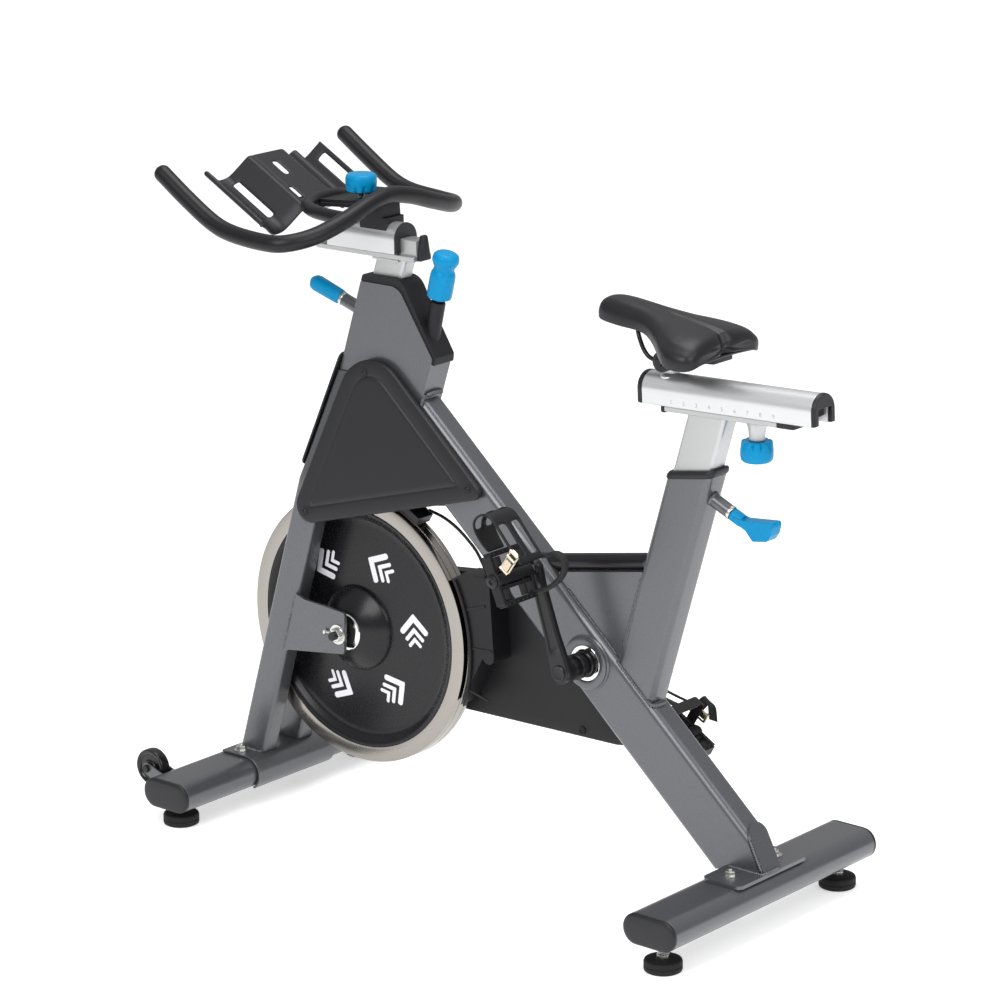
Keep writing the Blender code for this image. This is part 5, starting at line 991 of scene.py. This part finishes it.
for name, mid, run, lift, depth, grow, edge in (
        ("bar_slide_rear", BAR_MID + BAR_RUN * BAR_END, BAR_RUN, BAR_LIFT, 0.0045, 1.035, 0.0006),
        ("bar_slide_front", BAR_MID - BAR_RUN * BAR_END, -BAR_RUN, BAR_LIFT, 0.0030, 1.02, 0.0006),
        ("seat_slide_front", SEAT_MID - SEAT_RUN * SEAT_END, -SEAT_RUN, SEAT_LIFT, 0.0090, 1.03, 0.0006),
        ("seat_slide_rear", SEAT_MID + SEAT_RUN * SEAT_END, SEAT_RUN, SEAT_LIFT, 0.0075, 1.03, 0.0008)):
    steps = (0, grow), (0.25 * depth, grow), (0.75 * depth, grow * 0.985), (depth, grow * 0.94)
    piece(f"{name}_plate", [scaled(plate, mid, run, lift, steps, (0, 0.0215))], black_abs,
          f"{name.split('_')[0]}_carriage", (), edge)

# Slider figures: plain numerals from 1 to 9, printed in pale grey on the seat slider's side.
# Each is a film of ink 0.1 mm thick.
grey_ink = finish("pale_grey_ink", "anodised_aluminium", "#9FA2A4", "#94979A", 0.002, (0.45, 0.55), 0.000004)
marks = []
for k in range(9):
    text = bpy.data.curves.new("figure", "FONT")
    text.body, text.size, text.extrude, text.align_x = str(k + 1), 0.0095, 0.00005, "CENTER"
    drawn_text = bpy.data.objects.new("figure", text)
    scene.collection.objects.link(drawn_text)
    flat = bpy.data.meshes.new_from_object(drawn_text.evaluated_get(bpy.context.evaluated_depsgraph_get()))
    co = np.zeros(len(flat.vertices) * 3)
    flat.vertices.foreach_get("co", co)
    spot = SEAT_MID + SEAT_RUN * (0.0241 * k - 0.103) + SEAT_LIFT * 0.0055 - 0.02551 * Y
    marks.append((spot + co.reshape(-1, 3) @ np.array([SEAT_RUN, SEAT_LIFT, -Y]),
                  [list(p.vertices) for p in flat.polygons]))
    bpy.data.objects.remove(drawn_text)
    bpy.data.curves.remove(text)
    bpy.data.meshes.remove(flat)
piece("slider_figures", marks, grey_ink, "seat_carriage")

# Clamp knobs: moulded cups with finger notches round the open end, each on a threaded steel stud.
# Both are the brake knob's blue; one stands on the handlebar, the other hangs below the seat rail.
def notched(profile, at, axis, count=10, steps=160):
    """A turned cup with notches: r = profile radius (1 - depth c^6), c = cos(count a / 2)."""
    axis = np.asarray(axis, float)
    u, v = X, np.cross(axis, X)
    a = np.linspace(0, 2 * pi, steps, endpoint=False)[None, :, None]
    r, h, depth = np.asarray(profile, float).T[:, :, None, None]
    r = r * (1 - depth * np.cos(count * a / 2) ** 6)
    return skin(np.asarray(at, float) + r * (np.cos(a) * u + np.sin(a) * v) + h * axis)


CUP = np.array([(0.0090, 0.0, 0), (0.0225, 0.0, 0.16), (0.0240, 0.0010, 0.17), (0.0246, 0.0030, 0.17),
                (0.0250, 0.0070, 0.16), (0.0253, 0.0095, 0.06), (0.0254, 0.0115, 0), (0.0255, 0.0150, 0),
                (0.0254, 0.0205, 0), (0.0248, 0.0240, 0), (0.0235, 0.0265, 0), (0.0212, 0.0282, 0),
                (0.0180, 0.0289, 0), (0.0100, 0.0290, 0), (0.0005, 0.0290, 0)])
CUP_HIGH, SEAT_CUP_HIGH = 0.029, 0.033
BAR_KNOB = np.array([-0.287, 0, 1.0655])
piece("bar_clamp_cup", [notched(CUP, BAR_KNOB, Z)], blue, "bar_clamp", ["handlebar_knob"])
piece("seat_clamp_cup", [notched(CUP * (1, SEAT_CUP_HIGH / CUP_HIGH, 1), SEAT_KNOB - 0.0008 * Z, -Z)], blue,
      "seat_clamp", ["seat_knob"])
for name, at, way, length in (("bar", BAR_KNOB, -Z, 0.062), ("seat", SEAT_KNOB, Z, 0.021)):
    rise = np.arange(-0.002, length, 0.0008)
    stud = np.vstack([[(0, rise[0])], thread(0.0050, 0.0045, rise), [(0, rise[-1])]])
    piece(f"{name}_stud", [turned(stud, at, way, 28)], bright_steel, f"{name}_clamp")

# Handlebar: one bent steel tube with raised horns, an inner ring for the hands, a stem and a web plate, all dipped
# in PVC. The dip is soft and matt, with a fine orange-peel texture.
dipped_pvc = finish("dipped_soft_pvc", "bar_grip", "#121216", "#0E0E11", 0.0016, (0.34, 0.44), 0.00003,
                    Specular_IOR_Level=0.3)
horns = [(-0.2290, 0, 1.0650), (-0.228, 0.050, 1.0575), (-0.230, 0.105, 1.0405), (-0.242, 0.163, 1.0235),
         (-0.268, 0.204, 1.0155), (-0.306, 0.2145, 1.0150), (-0.370, 0.2155, 1.0205), (-0.412, 0.216, 1.0335),
         (-0.466, 0.217, 1.065), (-0.5285, 0.217, 1.1059)]
loop = [(-0.366, 0, 1.0460), (-0.361, 0.036, 1.0455), (-0.342, 0.068, 1.0445), (-0.310, 0.087, 1.0430),
        (-0.272, 0.095, 1.0425), (-0.232, 0.098, 1.0425)]


def both(half):
    """A half path from the middle out, carried on to the other side."""
    half = np.asarray(half, float)
    return np.vstack([half[:0:-1] * (1, -1, 1), half])


route = smooth(both(horns), 12)
reach = np.r_[0, np.cumsum(np.linalg.norm(np.diff(route, axis=0), axis=1))]
TIP = 0.012
near = np.linspace(0, TIP, 9) ** 2 / TIP
stops = np.unique(np.r_[near, np.linspace(TIP, reach[-1] - TIP, 240), reach[-1] - near])
route = np.stack([np.interp(stops, reach, c) for c in route.T], 1)
dome = np.clip(np.minimum(stops, reach[-1] - stops) / TIP, 0, 1)
dome = np.sqrt(np.clip(1 - (1 - dome) ** 2, 0.0004, 1))
yoke = rounded([(-0.345, 1.036), (-0.378, 1.0225), (-0.4065, 1.0385), (-0.403, 1.0452), (-0.3768, 1.0307),
                (-0.345, 1.046), (-0.250, 1.054), (-0.225, 1.062), (-0.222, 1.0258), (-0.268, 1.0246),
                (-0.272, 1.042)], 0.0025, 4)
web_x = np.array([cos(radians(5)), 0, sin(radians(5))])
a = np.radians(np.linspace(31, 149, 24))
saddle_foot = np.vstack([np.c_[0.0258 * np.cos(a), SLIDE_UP + 0.0258 * np.sin(a)],
                         [(-0.0221, 0.0560), (0.0221, 0.0560)]])
piece("horn_bar", [carried(disc(0.0140, 40), route, size=dome), carried(disc(0.0110, 32), smooth(both(loop), 10)),
                   slab(yoke, 0.044), slab(saddle_foot, 0.056, BAR_MID + BAR_RUN * 0.025, Y, BAR_LIFT),
                   slab(oblong(0.128, 0.060, 0.020), 0.006, (-0.302, 0, 1.0500), web_x, Y)],
      dipped_pvc, "bar_carriage", ["handlebar"], 0.0030)

# Bottle tray: one injection-moulded ABS sheet, 3.5 mm thick, with a bottle trough on each side of a raised bridge.
# The sheet is a grid of its section carried along the slope; cells inside the slots are left out before it is
# thickened.
tray_way, tray_up = rail_dirs(radians(-29))
tray_way = -tray_way
TRAY = np.array([-0.4000, 0, 0.989])
section = np.array([
    (-.1310, .0335), (-.1300, .0360), (-.1260, .0340), (-.114, .027), (-.106, .0205), (-.098, .014), (-.0895, .010),
    (-.0820, .0098), (-.0730, .0110), (-.0680, .0130), (-.0630, .0165), (-.0550, .0270), (-.0496, .0346),
    (-.0415, .0472), (-.0380, .0497), (-.036, .050), (-.0315, .0500), (-.0295, .0492), (-.0275, .0500),
    (-.0195, .050), (-.0120, .050), (-.006, .050), (.006, .050), (.0150, .050), (.0280, .050), (.040, .050),
    (.0458, .048), (.056, .038), (.0620, .0345), (.066, .033), (.0685, .0345), (.071, .0375), (.0735, .0395),
    (.077, .0405), (.0805, .0395), (.083, .037), (.088, .030), (.094, .0185), (.102, .0135), (.111, .0155),
    (.1170, .0205), (.1226, .0276), (.1312, .0410), (.1345, .0465), (.1359, .0489)])
rows = np.array([0, 0.003, 0.010, 0.0170, 0.022, 0.0280, 0.033, 0.043, 0.052, 0.062, 0.072, 0.083, 0.093, 0.106,
                 0.118, 0.122, 0.132, 0.139, 0.142])
SLOTS = ((-0.0730, -0.0630, 0.033, 0.122), (0.1226, 0.1312, 0.033, 0.122), (-0.006, 0.006, 0.083, 0.118),
         (-0.0275, -0.0195, 0.022, 0.052))


def tray_slot(row, col):
    """Cells whose middle lies in a slot: each slot is given as its span across and its span along."""
    y, s = (section[col, 0] + section[col + 1, 0]) / 2, (rows[row] + rows[row + 1]) / 2
    return np.any([(y > a) & (y < b) & (s > c) & (s < d) for a, b, c, d in SLOTS], axis=0)


tuck = 0.006 * np.clip((0.018 - rows) / 0.018, 0, 1) ** 2
sheet = (TRAY + rows[:, None, None] * tray_way + section[None, :, 0:1] * Y
         + (section[None, :, 1] - tuck[:, None])[:, :, None] * tray_up)
piece("moulded_tray", [perforated(sheet, tray_slot)], black_abs, "bar_carriage", ["bottle_tray"], angle=60,
      thick=0.0035, levels=2)
lip = TRAY - 0.1300 * Y + tray_up * 0.0345
ends = np.r_[0, 0.0006, 0.002, np.linspace(0.004, 0.138, 12), 0.1405, 0.1424, 0.1434]
taper = np.r_[0.3, 0.6, 0.9, np.ones(12), 0.9, 0.6, 0.3]
piece("tray_lip", [carried(disc(0.0044, 24), lip + ends[:, None] * tray_way, Y, size=taper)], black_abs, "bar_carriage")

# Saddle: a foam pad under smooth black vinyl, narrow at the nose, with a central channel and two swelled lobes behind.
# The pad swells by about 1 mm under pressure in a short cloth run, and then gets its channel, notch and seams.
vinyl = finish("smooth_black_vinyl", "saddle_vinyl", "#16161A", "#121216", 0.0011, (0.34, 0.44), 0.00002,
               Specular_IOR_Level=0.36)
stations = smooth([(0.2105, 0.006, 0.947, 0.938), (0.2135, 0.015, 0.956, 0.936), (0.2200, 0.022, 0.9635, 0.9345),
                   (0.2310, 0.027, 0.9685, 0.933), (0.2460, 0.030, 0.9700, 0.932), (0.2700, 0.0315, 0.9685, 0.930),
                   (0.2980, 0.033, 0.9650, 0.929), (0.3200, 0.0385, 0.9615, 0.9265), (0.3400, 0.049, 0.9580, 0.9205),
                   (0.3590, 0.0625, 0.9545, 0.912), (0.3780, 0.0785, 0.9515, 0.904), (0.3960, 0.091, 0.9485, 0.898),
                   (0.4110, 0.0955, 0.9460, 0.8955), (0.4250, 0.0955, 0.9435, 0.895), (0.4370, 0.0925, 0.9400, 0.8955),
                   (0.4450, 0.085, 0.9350, 0.8975), (0.4495, 0.072, 0.9270, 0.902)], 4)
x, w, top, low = stations.T[:, :, None]
half = smooth([(0, 0), (0.06, 0.0), (0.13, 0.005), (0.36, 0.03), (0.58, 0.09), (0.80, 0.24), (0.95, 0.47),
               (1.00, 0.70), (0.97, 1.0), (0.86, 0.95), (0.45, 0.78), (0, 0.76)], 4)
ring = np.vstack([half, half[-2:0:-1] * (-1, 1)])
pad = np.stack(np.broadcast_arrays(x, w * ring[:, 0], top - (top - low) * ring[:, 1]), -1)
closing = np.array([0.85, 0.6, 0.3, 0.02])[:, None, None]
for end, out in ((0, -0.0006), (-1, 0.0006)):
    heart = pad[end].mean(axis=0)
    more = heart + (pad[end] - heart) * closing + out * (1 - closing) * X
    pad = np.concatenate([more[::-1], pad] if end == 0 else [pad, more])
cushion = piece("vinyl_pad", [skin(pad)], vinyl, "saddle_unit", ["saddle"], angle=80)
start = np.zeros(len(cushion.data.vertices) * 3)
cushion.data.vertices.foreach_get("co", start)
start = start.reshape(-1, 3)
FRAMES, SWELL = 16, 0.0012
rim = cushion.vertex_groups.new(name="rim")
held = np.flatnonzero(start[:, 2] < np.interp(start[:, 0], stations[:, 0], stations[:, 3] + 0.004))
rim.add(held.tolist(), 1.0, "REPLACE")
cloth = cushion.modifiers.new("swell", "CLOTH")
cloth.settings.quality, cloth.settings.mass = 6, 0.2
cloth.settings.tension_stiffness = cloth.settings.compression_stiffness = 60
cloth.settings.bending_stiffness = 8
cloth.settings.vertex_group_mass = "rim"
cloth.settings.use_pressure, cloth.settings.uniform_pressure_force = True, 3.0
cloth.settings.effector_weights.gravity = 0
cloth.collision_settings.use_collision = False
cloth.point_cache.frame_start, cloth.point_cache.frame_end = 1, FRAMES
for step in range(1, FRAMES + 1):
    scene.frame_set(step)
swelled = cushion.evaluated_get(bpy.context.evaluated_depsgraph_get()).to_mesh()
moved = np.zeros(len(start) * 3)
swelled.vertices.foreach_get("co", moved)
scene.frame_set(1)
cushion.modifiers.remove(cloth)
cushion.vertex_groups.remove(rim)
moved = moved.reshape(-1, 3) - start
size = np.linalg.norm(moved, axis=1)[:, None]
start = start + moved * np.minimum(1, SWELL / np.maximum(size, 1e-9))
CHANNEL, NOTCH, SEAM = 0.0044, 0.0090, 0.0013
x, y, z = start.T
level, low = (np.interp(x, stations[:, 0], stations[:, k]) for k in (2, 3))
depth = level - low
above = np.clip((z - level + 0.4 * depth) / (0.2 * depth), 0, 1)
z -= CHANNEL * np.clip((x - 0.29) / 0.06, 0, 1) * above * np.exp(-(y / 0.0070) ** 2)
x -= NOTCH * np.clip((x - 0.405) / 0.040, 0, 1) ** 2 * np.exp(-(y / 0.011) ** 2)
seam = np.clip((x - 0.350) / 0.030, 0, 1) * np.exp(-((z - level + 0.36 * depth) / 0.0035) ** 2)
y -= SEAM * seam * np.sign(y) * (np.abs(y) > 0.02)
cushion.data.vertices.foreach_set("co", start.ravel())
fine = cushion.modifiers.new("fine", "SUBSURF")
fine.levels = fine.render_levels = 1

# Saddle base: the moulded plastic shell that the pad is glued to; its tail shows below the vinyl.
# It follows the pad's underside a little inside its rim.
sides = np.linspace(-0.90, 0.90, 15)
keep = (stations[:, 0] > 0.232) & (stations[:, 0] < 0.4465)
x, w, top, low = stations[keep].T[:, :, None]
under = np.stack(np.broadcast_arrays(x, w * sides, low + 0.0012 + (top - low) * 0.10 * (1 - sides ** 2)), -1)
shell = np.concatenate([under, under[:, ::-1] + (top - low)[:, :, None] * 0.10 * Z], axis=1)
heel = rounded([(-0.030, -0.010), (0.030, -0.010), (0.024, 0.010), (-0.024, 0.010)], 0.005, 4)
piece("saddle_shell", [skin(shell), slab(heel[:, ::-1], 0.008, (0.4330, 0, 0.8985), X, Y)], black_abs, "saddle_unit",
      (), 0.0015)

# Saddle rails and clamp: one 7 mm steel rod bent into two rails, gripped by a cast clamp on the slider's pin.
# Rod and clamp are lacquered black; a bolt runs through the clamp.
rails = [(0.288, 0, 0.9330), (0.290, 0.014, 0.9320), (0.297, 0.021, 0.9180), (0.309, 0.0215, 0.8950),
         (0.326, 0.0215, 0.8850), (0.362, 0.0215, 0.8850), (0.395, 0.0225, 0.8880), (0.430, 0.025, 0.9012)]
piece("bent_rails", [carried(disc(0.0035, 20), smooth(both(rails), 10))], black_paint, "saddle_unit", ["saddle_rails"])
jaw = [(0, 0.0310), (0.0085, 0.0310), (0.0092, 0.0302), (0.0094, 0.0270), (0.0150, 0.0268), (0.0163, 0.0256),
       (0.0163, 0.0160), (0.0150, 0.0152), (0.0118, 0.0148)]
nuts = [hexagon(PLATFORM, side * Y, 0.0072, 0.0300, 0.0345) for side in (-1, 1)]
piece("rail_clamp", [turned(mirrored(jaw), PLATFORM, Y, 48)] + nuts, black_paint, "saddle_unit", ["saddle_clamp"],
      0.0006)
